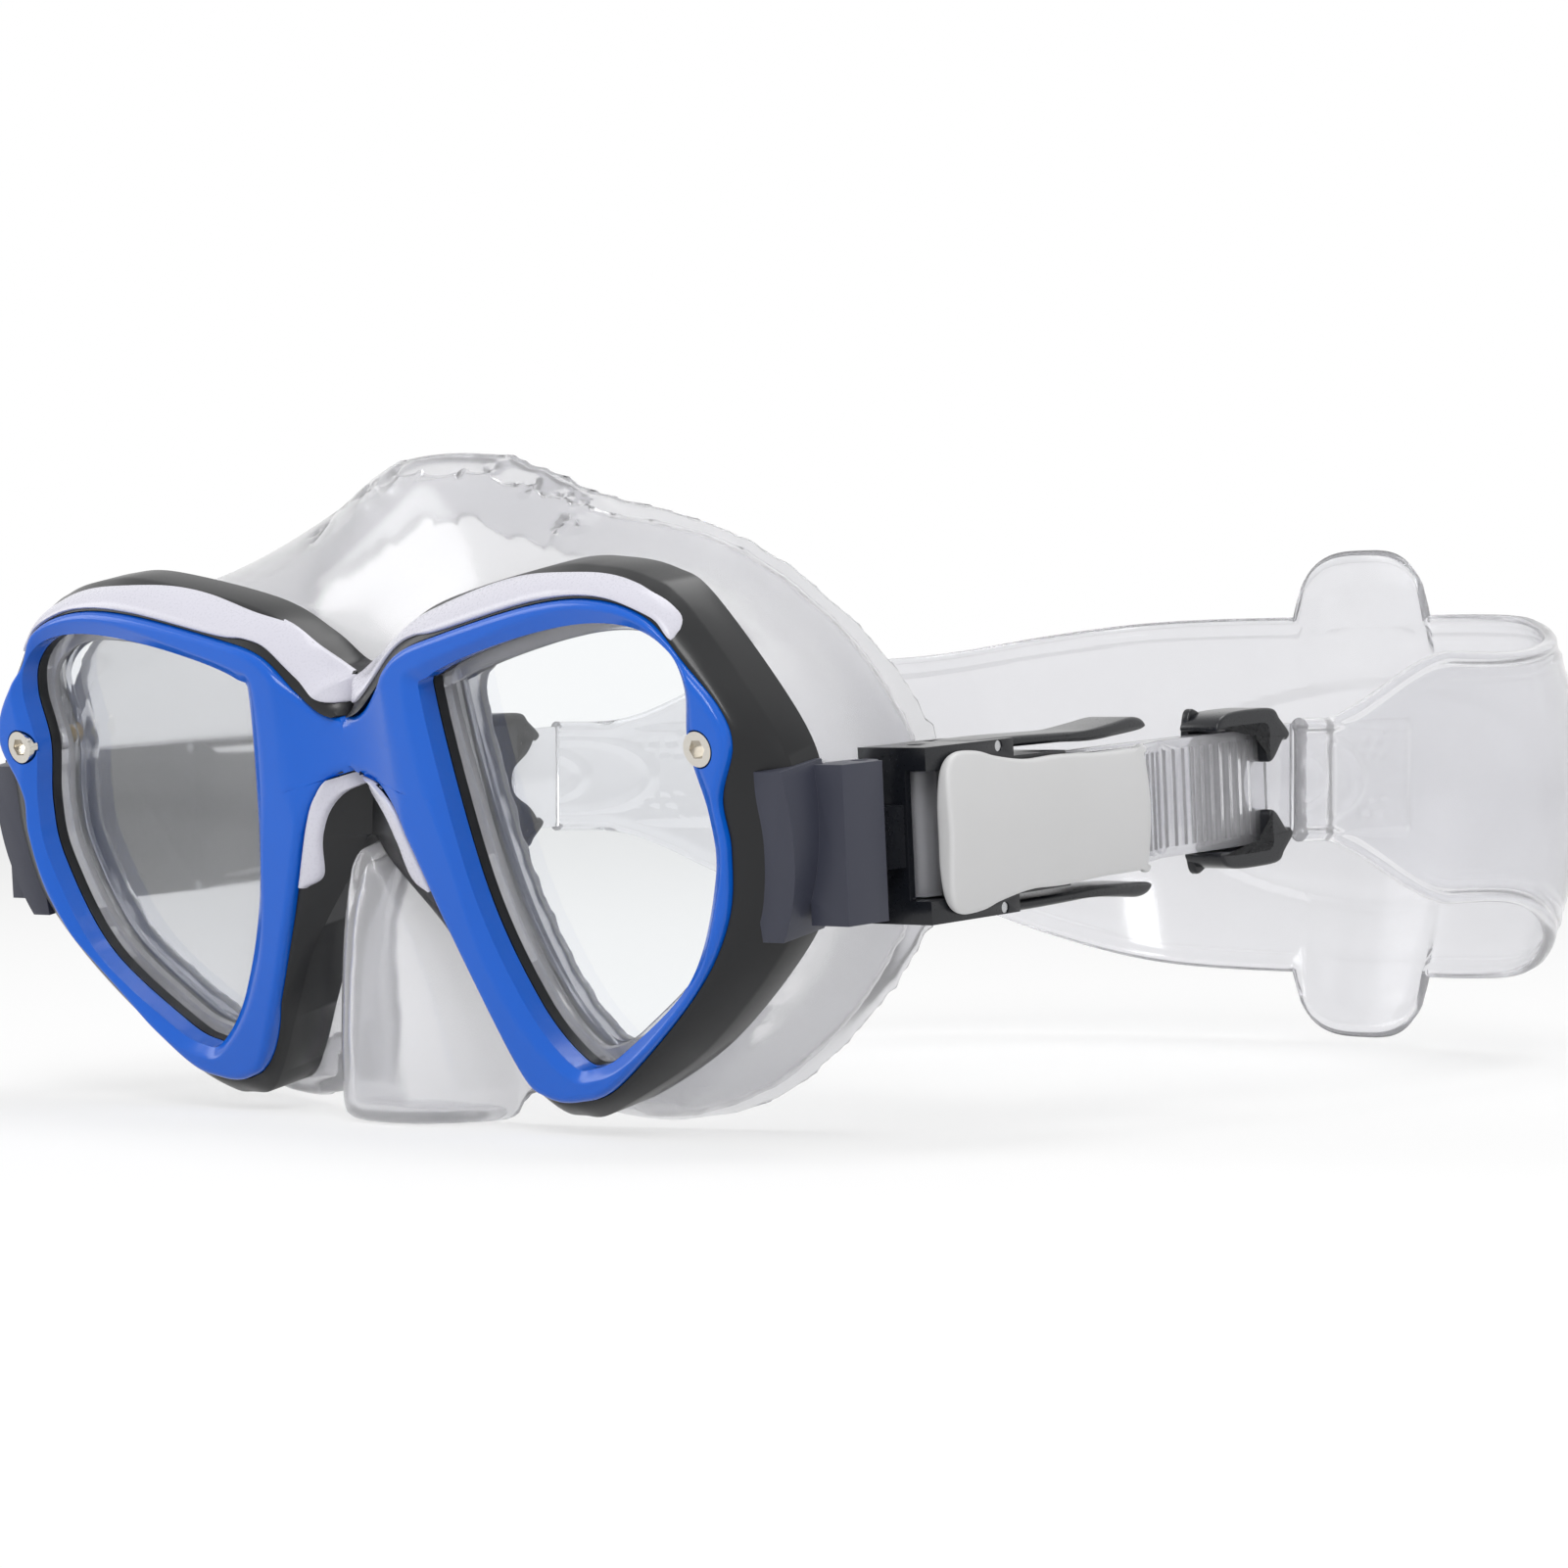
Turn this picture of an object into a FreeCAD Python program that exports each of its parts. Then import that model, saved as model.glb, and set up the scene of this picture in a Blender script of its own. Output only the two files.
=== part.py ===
import FreeCAD, Part
import math
import os

V = FreeCAD.Vector
TAU = 2.0 * math.pi

# Driving sizes in millimetres and degrees. The front plane leans forward at the top, and the row frame
# stands on the resting base under the nose pocket: +X is the wearer's left, +Y runs back to the strap.
DRIVING_SIZES = [
    ("front_tilt", 12.5, "lean of the front plane"),
    ("front_height", 57.7, "height of the middle of the front plane above the resting base"),
    ("front_setback", 18.0, "how far the front plane lies ahead of the origin"),
    ("outline_width", 1.0, "stretch of the drawn front outlines across"),
    ("outline_height", 1.0, "stretch of the drawn front outlines upward"),
    ("bezel_depth", 4.5, "front to back depth of the blue bezel"),
    ("bezel_clearance", 0.15, "gap between the bezel and its seat"),
    ("bridge_scoop", 2.2, "depth of the hollow across the bridge"),
    ("bridge_radius", 34.0, "radius of that hollow"),
    ("frame_front", 1.0, "where the black frame starts behind the front plane"),
    ("frame_bevel", 2.6, "slope of the frame's front edge"),
    ("frame_shoulder", 7.0, "where that slope ends"),
    ("frame_rear", 14.0, "rear face of the black frame"),
    ("frame_lip", 2.0, "depth of the lip that holds the lens"),
    ("trim_rise", 3.3, "how far the white trim stands out round the bezel"),
    ("trim_front", 1.4, "where the white trim starts"),
    ("trim_rear", 8.0, "rear face of the white trim"),
    ("nose_trim_front", 0.8, "where the white nose arch starts"),
    ("gasket_rim", 2.2, "width of the lens seat outside the opening"),
    ("gasket_lip", 0.9, "thickness of the silicone in front of the lens"),
    ("gasket_cover", 1.7, "how far that silicone covers the glass"),
    ("lens_thickness", 3.5, "tempered glass"),
    ("lens_margin", 1.0, "glass hidden outside the bezel opening"),
    ("seat_clearance", 0.1, "gap round the parts clamped in the frame"),
    ("skirt_wall", 1.8, "silicone wall"),
    ("skirt_depth", 66.0, "reach of the skirt behind the front plane"),
    ("face_start", 25.5, "where the forehead meets the skirt"),
    ("face_radius", 84.0, "radius of the face across the temples"),
    ("seal_width", 9.0, "inward turned sealing lip"),
    ("seal_thickness", 1.5, "thickness of that lip"),
    ("screw_offset", 75.0, "screw to the middle of the mask"),
    ("screw_head_radius", 2.6, "socket head"),
    ("screw_head_height", 1.8, "socket head"),
    ("screw_shank_radius", 1.25, "screw shank"),
    ("screw_length", 8.0, "screw under the head"),
    ("screw_socket", 2.6, "hexagon across flats"),
    ("screw_clearance", 0.2, "gap round the screw in its holes"),
    ("nut_radius", 1.8, "brass nut in the frame"),
    ("boss_wall", 0.7, "frame wall round the nut"),
    ("nut_height", 3.0, "brass nut in the frame"),
    ("hinge_offset", 88.0, "hinge pin to the middle of the mask"),
    ("hinge_setback", 21.0, "hinge pin behind the front plane"),
    ("hinge_drop", 13.0, "hinge pin below the middle of the front plane"),
    ("buckle_pitch", 4.0, "rise of the buckle toward the back"),
    ("buckle_toe_in", 1.5, "turn of the buckle toward the head"),
    ("saddle_offset", 79.0, "where the side bracket is let into the frame"),
    ("saddle_middle", -16.5, "middle of the bracket's saddle in the front plane"),
    ("saddle_height", 25.0, "side bracket's saddle"),
    ("saddle_front", 3.4, "front of the saddle"),
    ("saddle_rear", 12.4, "rear of the saddle"),
    ("saddle_proud", 1.3, "how far the saddle stands out of the frame"),
    ("pin_radius", 1.25, "hinge pin"),
    ("pin_length", 21.0, "hinge pin"),
    ("pin_clearance", 0.08, "running gap round the pins"),
    ("knuckle_radius", 2.7, "hinge knuckles"),
    ("knuckle_height", 9.0, "middle knuckle of the buckle"),
    ("knuckle_gap", 0.3, "gap between knuckles"),
    ("bracket_skin", 1.5, "outer skin of the side bracket over its knuckles"),
    ("bracket_height", 23.0, "side bracket over its knuckles"),
    ("buckle_height", 25.6, "buckle over its levers"),
    ("buckle_length", 60.0, "hinge pin to the buckle's rear edge"),
    ("base_plate", 1.6, "buckle's inner plate"),
    ("strap_width", 18.2, "toothed strap"),
    ("strap_thickness", 1.5, "toothed strap"),
    ("strap_clearance", 0.3, "gap round the strap in the buckle"),
    ("roller_radius", 2.4, "strap roller"),
    ("roller_setback", 13.0, "roller behind the hinge pin"),
    ("journal_radius", 1.3, "roller journals"),
    ("bend_clearance", 0.1, "gap between the roller and the strap's bend"),
    ("tail_slope_start", 60.5, "where the loose tail starts to close on the strap"),
    ("tail_slope_end", 73.0, "where it lies on the strap"),
    ("tail_gap", 0.5, "gap between the strap and its loose tail"),
    ("tail_end", 102.0, "end of the loose strap tail behind the hinge pin"),
    ("strap_end", 112.0, "end of the straight strap behind the hinge pin"),
    ("tooth_pitch", 2.5, "pitch of the strap teeth"),
    ("tooth_height", 0.5, "height of the strap teeth"),
    ("cover_front", 17.0, "white cover front edge behind the hinge pin"),
    ("cover_rear", 60.0, "white cover rear edge behind the hinge pin"),
    ("cover_thickness", 1.6, "white cover"),
    ("cover_crown", 1.4, "rise of the white cover's middle"),
    ("cover_seat", 6.6, "underside of the white cover outward of the hinge pin"),
    ("cover_front_height", 23.0, "white cover height at the front"),
    ("cover_rear_height", 18.2, "white cover height at the rear"),
    ("lever_pivot", 24.0, "lever pivot behind the hinge pin"),
    ("lever_end", 63.0, "lever end behind the hinge pin"),
    ("lever_thickness", 1.5, "squeeze lever"),
    ("lever_travel", 3.0, "degrees that a lever swings in"),
    ("lever_reach", 4.6, "outward reach of the squeeze lever"),
    ("side_gap", 0.3, "gap beside the moving buckle parts"),
    ("lever_pin_radius", 0.8, "lever pivot pin"),
    ("pawl_pivot", 36.0, "pawl pivot behind the hinge pin"),
    ("pawl_reach", 9.0, "pawl ahead of its pivot"),
    ("pawl_pin_radius", 0.6, "pawl pivot"),
    ("keeper_start", 86.0, "strap keeper front edge behind the hinge pin"),
    ("keeper_length", 22.0, "strap keeper"),
    ("keeper_wall", 1.4, "strap keeper wall"),
    ("headstrap_thickness", 2.2, "head strap"),
    ("headstrap_height", 20.0, "head strap beside the head"),
    ("headstrap_reach", 273.0, "front plane to the middle of the rear pad"),
    ("pad_front", 142.0, "front plane to where the rear pad starts to widen"),
    ("pad_flare", 45.0, "length over which the pad's wings widen"),
    ("wing_height", 43.0, "rear pad's wings beside the head"),
    ("pad_middle", 48.2, "middle of the rear pad above the resting base"),
    ("pad_height", 69.0, "rear pad at the back of the head"),
    ("tab_width", 40.0, "lift tabs above and below the rear pad"),
    ("tab_top", 95.5, "top of the upper lift tab above the resting base"),
    ("tab_bottom", 1.2, "lower lift tab above the resting base"),
]

doc = FreeCAD.newDocument("diving_mask")
sheet = doc.addObject("Spreadsheet::Sheet", "Sizes")
for row, (alias, value, note) in enumerate(DRIVING_SIZES, start=1):
    sheet.set("A%d" % row, alias.replace("_", " ") + ", " + note)
    sheet.set("B%d" % row, str(value))
    sheet.setAlias("B%d" % row, alias)
doc.recompute()


class Sizes:
    """Gives each driving size by its name, as the sheet holds it."""

    def __getattr__(self, alias):
        return float(sheet.get(alias))


size = Sizes()
sub_parts = []

# Front outlines, right half as (across, up) from the middle of the front plane, top to bottom.
BEZEL_HALF = [
    (0, 4.2), (4.5, 5.2), (9.2, 8.8), (15.4, 14.1), (25, 17), (45, 21.1), (58, 21.6), (67.5, 18.7),
    (73.3, 12.3), (79.0, 5.6), (80.4, 0), (77.0, -7.6), (77.2, -15), (74.6, -25.5), (66.1, -36.6),
    (48.4, -50.9), (39.8, -54), (33, -53.6), (28, -49.3), (18.2, -29.1), (11.3, -12.8),
    (7.6, -7.4), (4, -4.9), (0, -4.1),
]
FRAME_HALF = [
    (0, 10.5), (4, 11.3), (10, 15.7), (21, 21), (44, 25.7), (55, 25.8), (64, 24), (71, 19.6),
    (84, 1.5), (86.4, -9), (85.2, -21), (79.8, -31), (62, -46.4), (44, -56), (37, -57.2),
    (31, -55.6), (24, -44.5), (16.2, -32), (4.6, -19.6), (0, -14.5),
]
LENS_OUTLINE = [
    (19.1, 6.4), (21.5, 10.8), (36.4, 15.3), (52.9, 18.1), (64.4, 17.6), (71.0, 14.0), (73.2, 8.5),
    (72.2, 0), (74.3, -10), (73.6, -19.5), (65.9, -34.4), (50.5, -45.8), (43.5, -48.8),
    (38.6, -48.2), (31, -39.5), (23.5, -21.5),
]
ARCH_HALF = [(0, -6.5), (3.2, -7.7), (6.2, -10.6), (8.4, -15), (9.9, -20.6), (13.6, -22.4)]


def at_front(u, n, v):
    """A point given across, back and up in the tilted front plane, in the row frame."""
    tilt = math.radians(size.front_tilt)
    y = n * math.cos(tilt) - v * math.sin(tilt) - size.front_setback
    z = n * math.sin(tilt) + v * math.cos(tilt) + size.front_height
    return V(u, y, z)


def front_placement():
    """The placement that carries a shape drawn upright to the tilted front plane."""
    spin = FreeCAD.Rotation(V(1, 0, 0), size.front_tilt)
    return FreeCAD.Placement(V(0, -size.front_setback, size.front_height), spin)


def scaled(points):
    return [(u * size.outline_width, v * size.outline_height) for u, v in points]


def mirrored_loop(half):
    """A whole loop from a half outline that starts and ends on the middle line."""
    half = scaled(half)
    return half + [(-u, v) for u, v in reversed(half[1:-1])]


def moved_out(points, distance):
    """The outline's points moved outward along their normals, inward when negative."""
    count = len(points)
    area = sum(points[i][0] * points[(i + 1) % count][1] - points[(i + 1) % count][0] * points[i][1]
               for i in range(count))
    turn = 1.0 if area > 0 else -1.0
    result = []
    for i in range(count):
        before, after = points[i - 1], points[(i + 1) % count]
        along = V(after[0] - before[0], after[1] - before[1], 0).normalize()
        result.append((points[i][0] + turn * distance * along.y,
                       points[i][1] - turn * distance * along.x))
    return result


def arc_edge(start, direction, end):
    """An arc that leaves start along a direction and reaches end, or a line where it is nearly straight."""
    chord = end - start
    side = direction - chord * (direction.dot(chord) / chord.dot(chord))
    if side.Length < 1e-3:
        return Part.LineSegment(start, end).toShape()
    angle = direction.getAngle(chord)
    bulge = side.normalize() * (chord.Length / 2 * math.tan(angle / 2))
    return Part.Arc(start, start + chord / 2 + bulge, end).toShape()


def two_arcs(start, leaving, end, arriving):
    """Two arcs that meet smoothly, from one point and direction to another."""
    chord = end - start
    both = leaving + arriving
    turn = 2 * (1 - leaving.dot(arriving))
    along = chord.dot(both)
    if turn < 1e-6:
        reach = chord.dot(chord) / (2 * along)
    else:
        reach = (math.sqrt(along * along + turn * chord.dot(chord)) - along) / turn
    middle = (start + end + (leaving - arriving) * reach) / 2
    last = arc_edge(end, arriving * -1, middle)
    return [arc_edge(start, leaving, middle), last]


def outline_wire(points, n):
    """A smooth closed wire of arcs in the upright front plane, n behind its face."""
    return arc_loop([V(u, n, v) for u, v in points])


def arc_loop(corners):
    """A smooth closed wire of arcs through points of one plane."""
    count = len(corners)
    ways = [(corners[(i + 1) % count] - corners[i - 1]).normalize() for i in range(count)]
    edges = []
    for i in range(count):
        following = (i + 1) % count
        edges += two_arcs(corners[i], ways[i], corners[following], ways[following])
    return Part.Wire(Part.__sortEdges__(edges))


def slab(points, front, rear):
    """The outline as a solid from front to rear."""
    return Part.Face(outline_wire(points, front)).extrude(V(0, rear - front, 0))


def polygon_slab(points, front, rear):
    corners = [V(u, front, v) for u, v in points]
    return Part.Face(Part.makePolygon(corners + corners[:1])).extrude(V(0, rear - front, 0))


def lens_loops(distance):
    """Both lens outlines, moved out by a distance."""
    left = moved_out(scaled(LENS_OUTLINE), distance)
    return [left, [(-u, v) for u, v in left]]


def keep(label, shape, placement=None):
    """Files a finished solid as a sub-part of the document."""
    feature = doc.addObject("Part::Feature", label)
    feature.Label = label
    feature.Shape = shape
    if placement is not None:
        feature.Placement = placement
    sub_parts.append(feature)
    return feature


def keep_pin(label, radius, length, placement):
    """Files a straight pin whose radius and length follow the sheet."""
    pin = doc.addObject("Part::Cylinder", label)
    pin.Label = label
    pin.setExpression("Radius", radius)
    pin.setExpression("Height", length)
    pin.Placement = placement
    sub_parts.append(pin)


# Front of the mask: bezel, trims, frame, glass and screws


def bezel_outline(distance=0.0):
    return moved_out(mirrored_loop(BEZEL_HALF), distance)


def brow_region(front, rear):
    """Everything above the bezel that the white brow trim may fill."""
    reach = 2.0 * size.screw_offset
    corners = [(-reach, reach), (-reach, 10), (-70, 10), (-20, 0), (20, 0), (70, 10), (reach, 10),
               (reach, reach)]
    return polygon_slab(scaled(corners), front, rear)


def nose_region(front, rear):
    """Area under the bridge that the white nose arch may fill."""
    arch = scaled(ARCH_HALF)
    top = scaled([(15.5, -22.4), (12, 0)])
    right = arch + top
    loop = right + [(-u, v) for u, v in reversed(right)][:-1]
    return polygon_slab(loop, front, rear)


def screw_places():
    return [("left", size.screw_offset), ("right", -size.screw_offset)]


def make_bezel():
    shape = slab(bezel_outline(), 0, size.bezel_depth)
    for loop in lens_loops(0.0):
        shape = shape.cut(slab(loop, -1, size.bezel_depth + 1))
    scoop = Part.makeCylinder(size.bridge_radius, 60, V(0, size.bridge_scoop - size.bridge_radius, -30))
    shape = shape.cut(scoop)
    for _, u in screw_places():
        head = Part.makeCylinder(size.screw_head_radius + size.screw_clearance, size.screw_head_height,
                                 V(u, 0, 0), V(0, 1, 0))
        shank = Part.makeCylinder(size.screw_shank_radius + size.screw_clearance, size.bezel_depth + 2,
                                  V(u, -1, 0), V(0, 1, 0))
        shape = shape.cut(head).cut(shank)
    return shape


def make_brow_trim():
    inner = bezel_outline(size.bezel_clearance + size.seat_clearance)
    front = outline_wire(bezel_outline(1.0), size.trim_front)
    rear = outline_wire(bezel_outline(size.trim_rise), size.trim_rear)
    ring = Part.makeLoft([front, rear], True)
    ring = ring.cut(slab(inner, -1, size.trim_rear + 1))
    for loop in lens_loops(size.gasket_rim + size.seat_clearance):
        ring = ring.cut(slab(loop, gasket_start() - size.seat_clearance, size.trim_rear + 1))
    return ring.common(brow_region(-1, size.trim_rear))


def make_nose_trim():
    block = nose_region(size.nose_trim_front, size.bezel_depth)
    return block.cut(slab(bezel_outline(size.bezel_clearance), -1, size.bezel_depth + 1))


def frame_outline(distance=0.0):
    return moved_out(mirrored_loop(FRAME_HALF), distance)


def make_main_frame():
    front = outline_wire(frame_outline(-size.frame_bevel), size.frame_front)
    shoulder = outline_wire(frame_outline(), size.frame_shoulder)
    shape = Part.makeLoft([front, shoulder], True)
    shape = shape.fuse(slab(frame_outline(), size.frame_shoulder, size.frame_rear)).removeSplitter()
    shape = shape.cut(slab(bezel_outline(size.bezel_clearance), -1, size.bezel_depth))
    brow = brow_region(-1, size.trim_rear + size.seat_clearance)
    brow = brow.cut(slab(bezel_outline(size.bezel_clearance), -2, size.trim_rear + 1))
    shape = shape.cut(brow)
    nose = nose_region(-1, size.bezel_depth)
    shape = shape.cut(nose)
    lip_end = size.bezel_depth + size.frame_lip
    for loop in lens_loops(0.0):
        shape = shape.cut(slab(loop, -1, lip_end + 1))
    for loop in lens_loops(size.gasket_rim):
        shape = shape.cut(relieved(slab(loop, lip_end, size.frame_rear + 1), 0.0))
    for _, u in screw_places():
        shank = Part.makeCylinder(size.screw_shank_radius + size.screw_clearance, size.frame_rear + 1,
                                  V(u, 0, 0), V(0, 1, 0))
        nut = Part.makeCylinder(size.nut_radius + size.seat_clearance,
                                size.frame_rear - nut_front() + 1, V(u, nut_front(), 0), V(0, 1, 0))
        shape = shape.cut(shank).cut(nut)
    for side in (1, -1):
        shape = shape.cut(saddle_block(side, size.seat_clearance))
    return shape


def relieved(shape, gap):
    """Leaves out the bosses that hold the nuts, with a gap round them."""
    for _, u in screw_places():
        boss = Part.makeCylinder(size.nut_radius + size.boss_wall + gap, size.frame_rear + gap,
                                 V(u, 0, 0), V(0, 1, 0))
        shape = shape.cut(boss)
    return shape


def nut_front():
    return size.frame_rear - size.nut_height


def frame_block(side, u_start, v_low, v_high, front, rear):
    """A block of the front plane on one side, from u_start outward."""
    block = Part.makeBox(120.0 - u_start, rear - front, v_high - v_low, V(u_start, front, v_low))
    return block if side > 0 else mirror_x(block)


def saddle_block(side, gap):
    """The space of the side bracket's saddle in the frame, grown by a gap."""
    start = size.saddle_offset * size.outline_width - gap
    middle = size.saddle_middle
    half = size.saddle_height / 2 + gap
    return frame_block(side, start, middle - half, middle + half, size.saddle_front - gap, size.saddle_rear + gap)


def mirror_x(shape):
    return shape.mirror(V(0, 0, 0), V(1, 0, 0))


def make_screw():
    body = doc.addObject("PartDesign::Body", "screw_form")
    plane = [f for f in body.Origin.OriginFeatures if f.Role == "XY_Plane"][0]
    sketch = body.newObject("Sketcher::SketchObject", "screw_profile")
    sketch.AttachmentSupport = (plane, [""])
    sketch.MapMode = "FlatFace"
    head, shank = size.screw_head_radius, size.screw_shank_radius
    points = [(0, 0), (head, 0), (head, size.screw_head_height), (shank, size.screw_head_height),
              (shank, size.screw_length), (0, size.screw_length)]
    for i, point in enumerate(points):
        following = points[(i + 1) % len(points)]
        sketch.addGeometry(Part.LineSegment(V(*point, 0), V(*following, 0)), False)
    turned = body.newObject("PartDesign::Revolution", "screw_turned")
    turned.Profile = sketch
    turned.ReferenceAxis = (sketch, ["V_Axis"])
    turned.Angle = 360.0
    doc.recompute()
    socket = Part.makePolygon([V(math.cos(i * TAU / 6), 0, math.sin(i * TAU / 6)) * (size.screw_socket / math.sqrt(3))
                               for i in range(7)])
    hole = Part.Face(socket).extrude(V(0, size.screw_head_height * 0.75, 0))
    return body.Shape.cut(hole)


def make_nut():
    ring = Part.makeCylinder(size.nut_radius, size.nut_height, V(0, 0, 0), V(0, 1, 0))
    bore = Part.makeCylinder(size.screw_shank_radius + size.pin_clearance, size.nut_height + 2,
                             V(0, -1, 0), V(0, 1, 0))
    return ring.cut(bore)


def gasket_start():
    return size.bezel_depth + size.frame_lip + size.seat_clearance


def lens_start():
    return gasket_start() + size.gasket_lip


# Skirt: drawn in the row frame, as (across, height at the frame, height at the face, reach at the face)

SKIRT_HALF = [
    (0, 11.5, 0, 47.6, 25.5), (12, 16.5, 14, 45.6, 29), (30, 23.5, 32, 40, 37), (50, 25.2, 48, 33, 43.5),
    (65, 21, 60, 21.5, 51), (76, 10.5, 67, 9, 58), (82, -2, 70.5, -5, 61), (82, -16, 70, -20, 60),
    (78, -27, 67.5, -31, 58), (68, -38.5, 62, -42.5, 57), (51, -50, 53, -54, 54), (36, -54, 42, -57.9, 50),
    (20, -50, 24, -57.0, 42), (0, -46, 0, -54, 34),
]


SKIRT_STEPS = 6


def skirt_section(reach, inset=0.0):
    """The skirt's outline at one reach behind the front plane, each point on its own path to the face."""
    half = []
    for u_frame, z_frame, u_face, z_face, y_face in SKIRT_HALF:
        share = min(1.0, max(0.0, (reach - 9.0) / (y_face - 9.0)))
        share = share * share * (3 - 2 * share)
        u = (u_frame + (u_face - u_frame) * share) * size.outline_width
        z = (z_frame + (z_face - z_frame) * share) * size.outline_height
        half.append((u, z))
    loop = half + [(-u, z) for u, z in reversed(half[1:-1])]
    return moved_out(loop, -inset)


def skirt_loft(inset):
    wires = []
    for step in range(SKIRT_STEPS + 1):
        reach = 3.0 + size.skirt_depth * step / SKIRT_STEPS
        points = [V(u, reach - size.front_setback, z + size.front_height) for u, z in skirt_section(reach, inset)]
        wires.append(arc_loop(points))
    return Part.makeLoft(wires, True, True)


# Nose pocket as (height, half width, reach of its front)
NOSE_LEVELS = [(-12, 1.8, 5.5), (-18, 3.2, 4.4), (-26, 7.4, 5.2), (-35, 10.4, 6), (-46, 12.2, 6.6), (-64, 13.0, 8.0)]


def nose_loft(inset):
    wires = []
    for z, half_width, front in NOSE_LEVELS:
        w = max(half_width * size.outline_width - inset, 0.3 * half_width)
        tip, rear = front + inset, 36 - inset
        loop = [(0, tip), (0.62 * w, tip + 0.12 * w), (w, tip + 0.75 * w), (1.15 * w + 1, 30), (0.8 * w, rear),
                (-0.8 * w, rear), (-1.15 * w - 1, 30), (-w, tip + 0.75 * w), (-0.62 * w, tip + 0.12 * w)]
        level = z * size.outline_height + size.front_height
        wires.append(arc_loop([V(u, y - size.front_setback, level) for u, y in loop]))
    return Part.makeLoft(wires, True, True)


def behind_front(n):
    """Everything farther back than n behind the tilted front plane."""
    block = Part.makeBox(400, 400, 400, V(-200, n, -200))
    block.Placement = front_placement()
    return block


def nose_below(inset, gap, rear):
    """Nose pocket with the frame's own space left out of it."""
    frame_zone = slab(frame_outline(gap), -20, rear)
    frame_zone.Placement = front_placement()
    return nose_loft(inset).cut(frame_zone)


def face_cylinder(radius):
    return Part.makeCylinder(radius, 400, V(0, size.face_start + size.face_radius - size.front_setback, -200))


def make_skirt():
    wall = size.skirt_wall
    floor = Part.makeBox(400, 400, 200, V(-200, -200, 0))
    plate_front = size.frame_rear + size.seat_clearance
    outer = skirt_loft(0.0).common(behind_front(plate_front))
    outer = outer.fuse(nose_below(0.0, size.side_gap, plate_front)).common(floor)
    above_base = Part.makeBox(400, 400, 200, V(-200, -200, wall))
    inner_body = skirt_loft(wall).common(behind_front(plate_front + wall))
    inner = inner_body.fuse(nose_below(wall, size.side_gap + wall, plate_front + wall)).common(above_base)
    face = face_cylinder(size.face_radius)
    shell = outer.cut(inner).cut(face)
    lip_ring = outer.common(face_cylinder(size.face_radius + size.seal_thickness)).cut(face)
    lip_ring = lip_ring.cut(skirt_loft(wall + size.seal_width)).cut(nose_loft(wall))
    shape = shell.fuse(lip_ring)
    for loop, hole, glass in zip(lens_loops(size.gasket_rim), lens_loops(-size.gasket_cover - 0.6),
                                 lens_loops(size.lens_margin + 0.02)):
        gasket = slab(loop, gasket_start(), plate_front + wall)
        gasket = gasket.cut(slab(glass, lens_start(), lens_start() + size.lens_thickness))
        gasket = relieved(gasket, size.seat_clearance)
        gasket.Placement = front_placement()
        shape = shape.fuse(gasket)
        window = slab(hole, gasket_start() - 3, plate_front + wall + 1)
        window.Placement = front_placement()
        shape = shape.cut(window)
    return shape


def make_front_parts():
    placed = front_placement()
    keep("front_bezel", make_bezel(), placed)
    keep("brow_trim", make_brow_trim(), placed)
    keep("nose_trim", make_nose_trim(), placed)
    keep("main_frame", make_main_frame(), placed)
    for name, loop in zip(("left", "right"), lens_loops(size.lens_margin)):
        glass = relieved(slab(loop, lens_start(), lens_start() + size.lens_thickness), size.seat_clearance)
        keep("lens_" + name, glass, placed)
    for name, u in screw_places():
        keep("bezel_screw_" + name, make_screw(), placed * FreeCAD.Placement(V(u, 0, 0), FreeCAD.Rotation()))
        keep("screw_nut_" + name, make_nut(), placed * FreeCAD.Placement(V(u, nut_front(), 0), FreeCAD.Rotation()))
    keep("skirt", make_skirt())


# Buckles: drawn for the wearer's left, with the hinge pin on Z at the origin, +Y back and +X outward


def buckle_placement(side):
    turn = FreeCAD.Rotation(V(0, 0, 1), side * size.buckle_toe_in)
    rise = FreeCAD.Rotation(V(1, 0, 0), size.buckle_pitch)
    return FreeCAD.Placement(V(side * size.hinge_offset, size.hinge_setback - size.front_setback,
                               size.front_height - size.hinge_drop), turn * rise)


def box(x0, x1, y0, y1, z0, z1):
    return Part.makeBox(x1 - x0, y1 - y0, z1 - z0, V(x0, y0, z0))


def rod(radius, start, end):
    axis = end - start
    return Part.makeCylinder(radius, axis.Length, start, axis)


def prism(points, z0, z1):
    """A solid with an outline in the plane seen from above."""
    corners = [V(x, y, z0) for x, y in points]
    return Part.Face(Part.makePolygon(corners + corners[:1])).extrude(V(0, 0, z1 - z0))


def side_prism(points, x0, x1):
    """A solid with an outline in the plane seen from the side, as (back, up)."""
    corners = [V(x0, y, z) for y, z in points]
    return Part.Face(Part.makePolygon(corners + corners[:1])).extrude(V(x1 - x0, 0, 0))


def joined(shapes):
    first, rest = shapes[0], shapes[1:]
    return first.fuse(rest).removeSplitter()


def top_and_bottom(shape):
    return shape, shape.mirror(V(0, 0, 0), V(0, 0, 1))


def strap_half():
    return size.strap_width / 2


def strap_slot():
    return strap_half() + size.strap_clearance


def bend_radius():
    return size.roller_radius + size.bend_clearance


def strap_outside():
    return bend_radius() + size.strap_thickness


def plate_inside():
    """Inner plate's outer face, measured inward of the hinge pin."""
    return strap_outside() + size.strap_clearance


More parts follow.
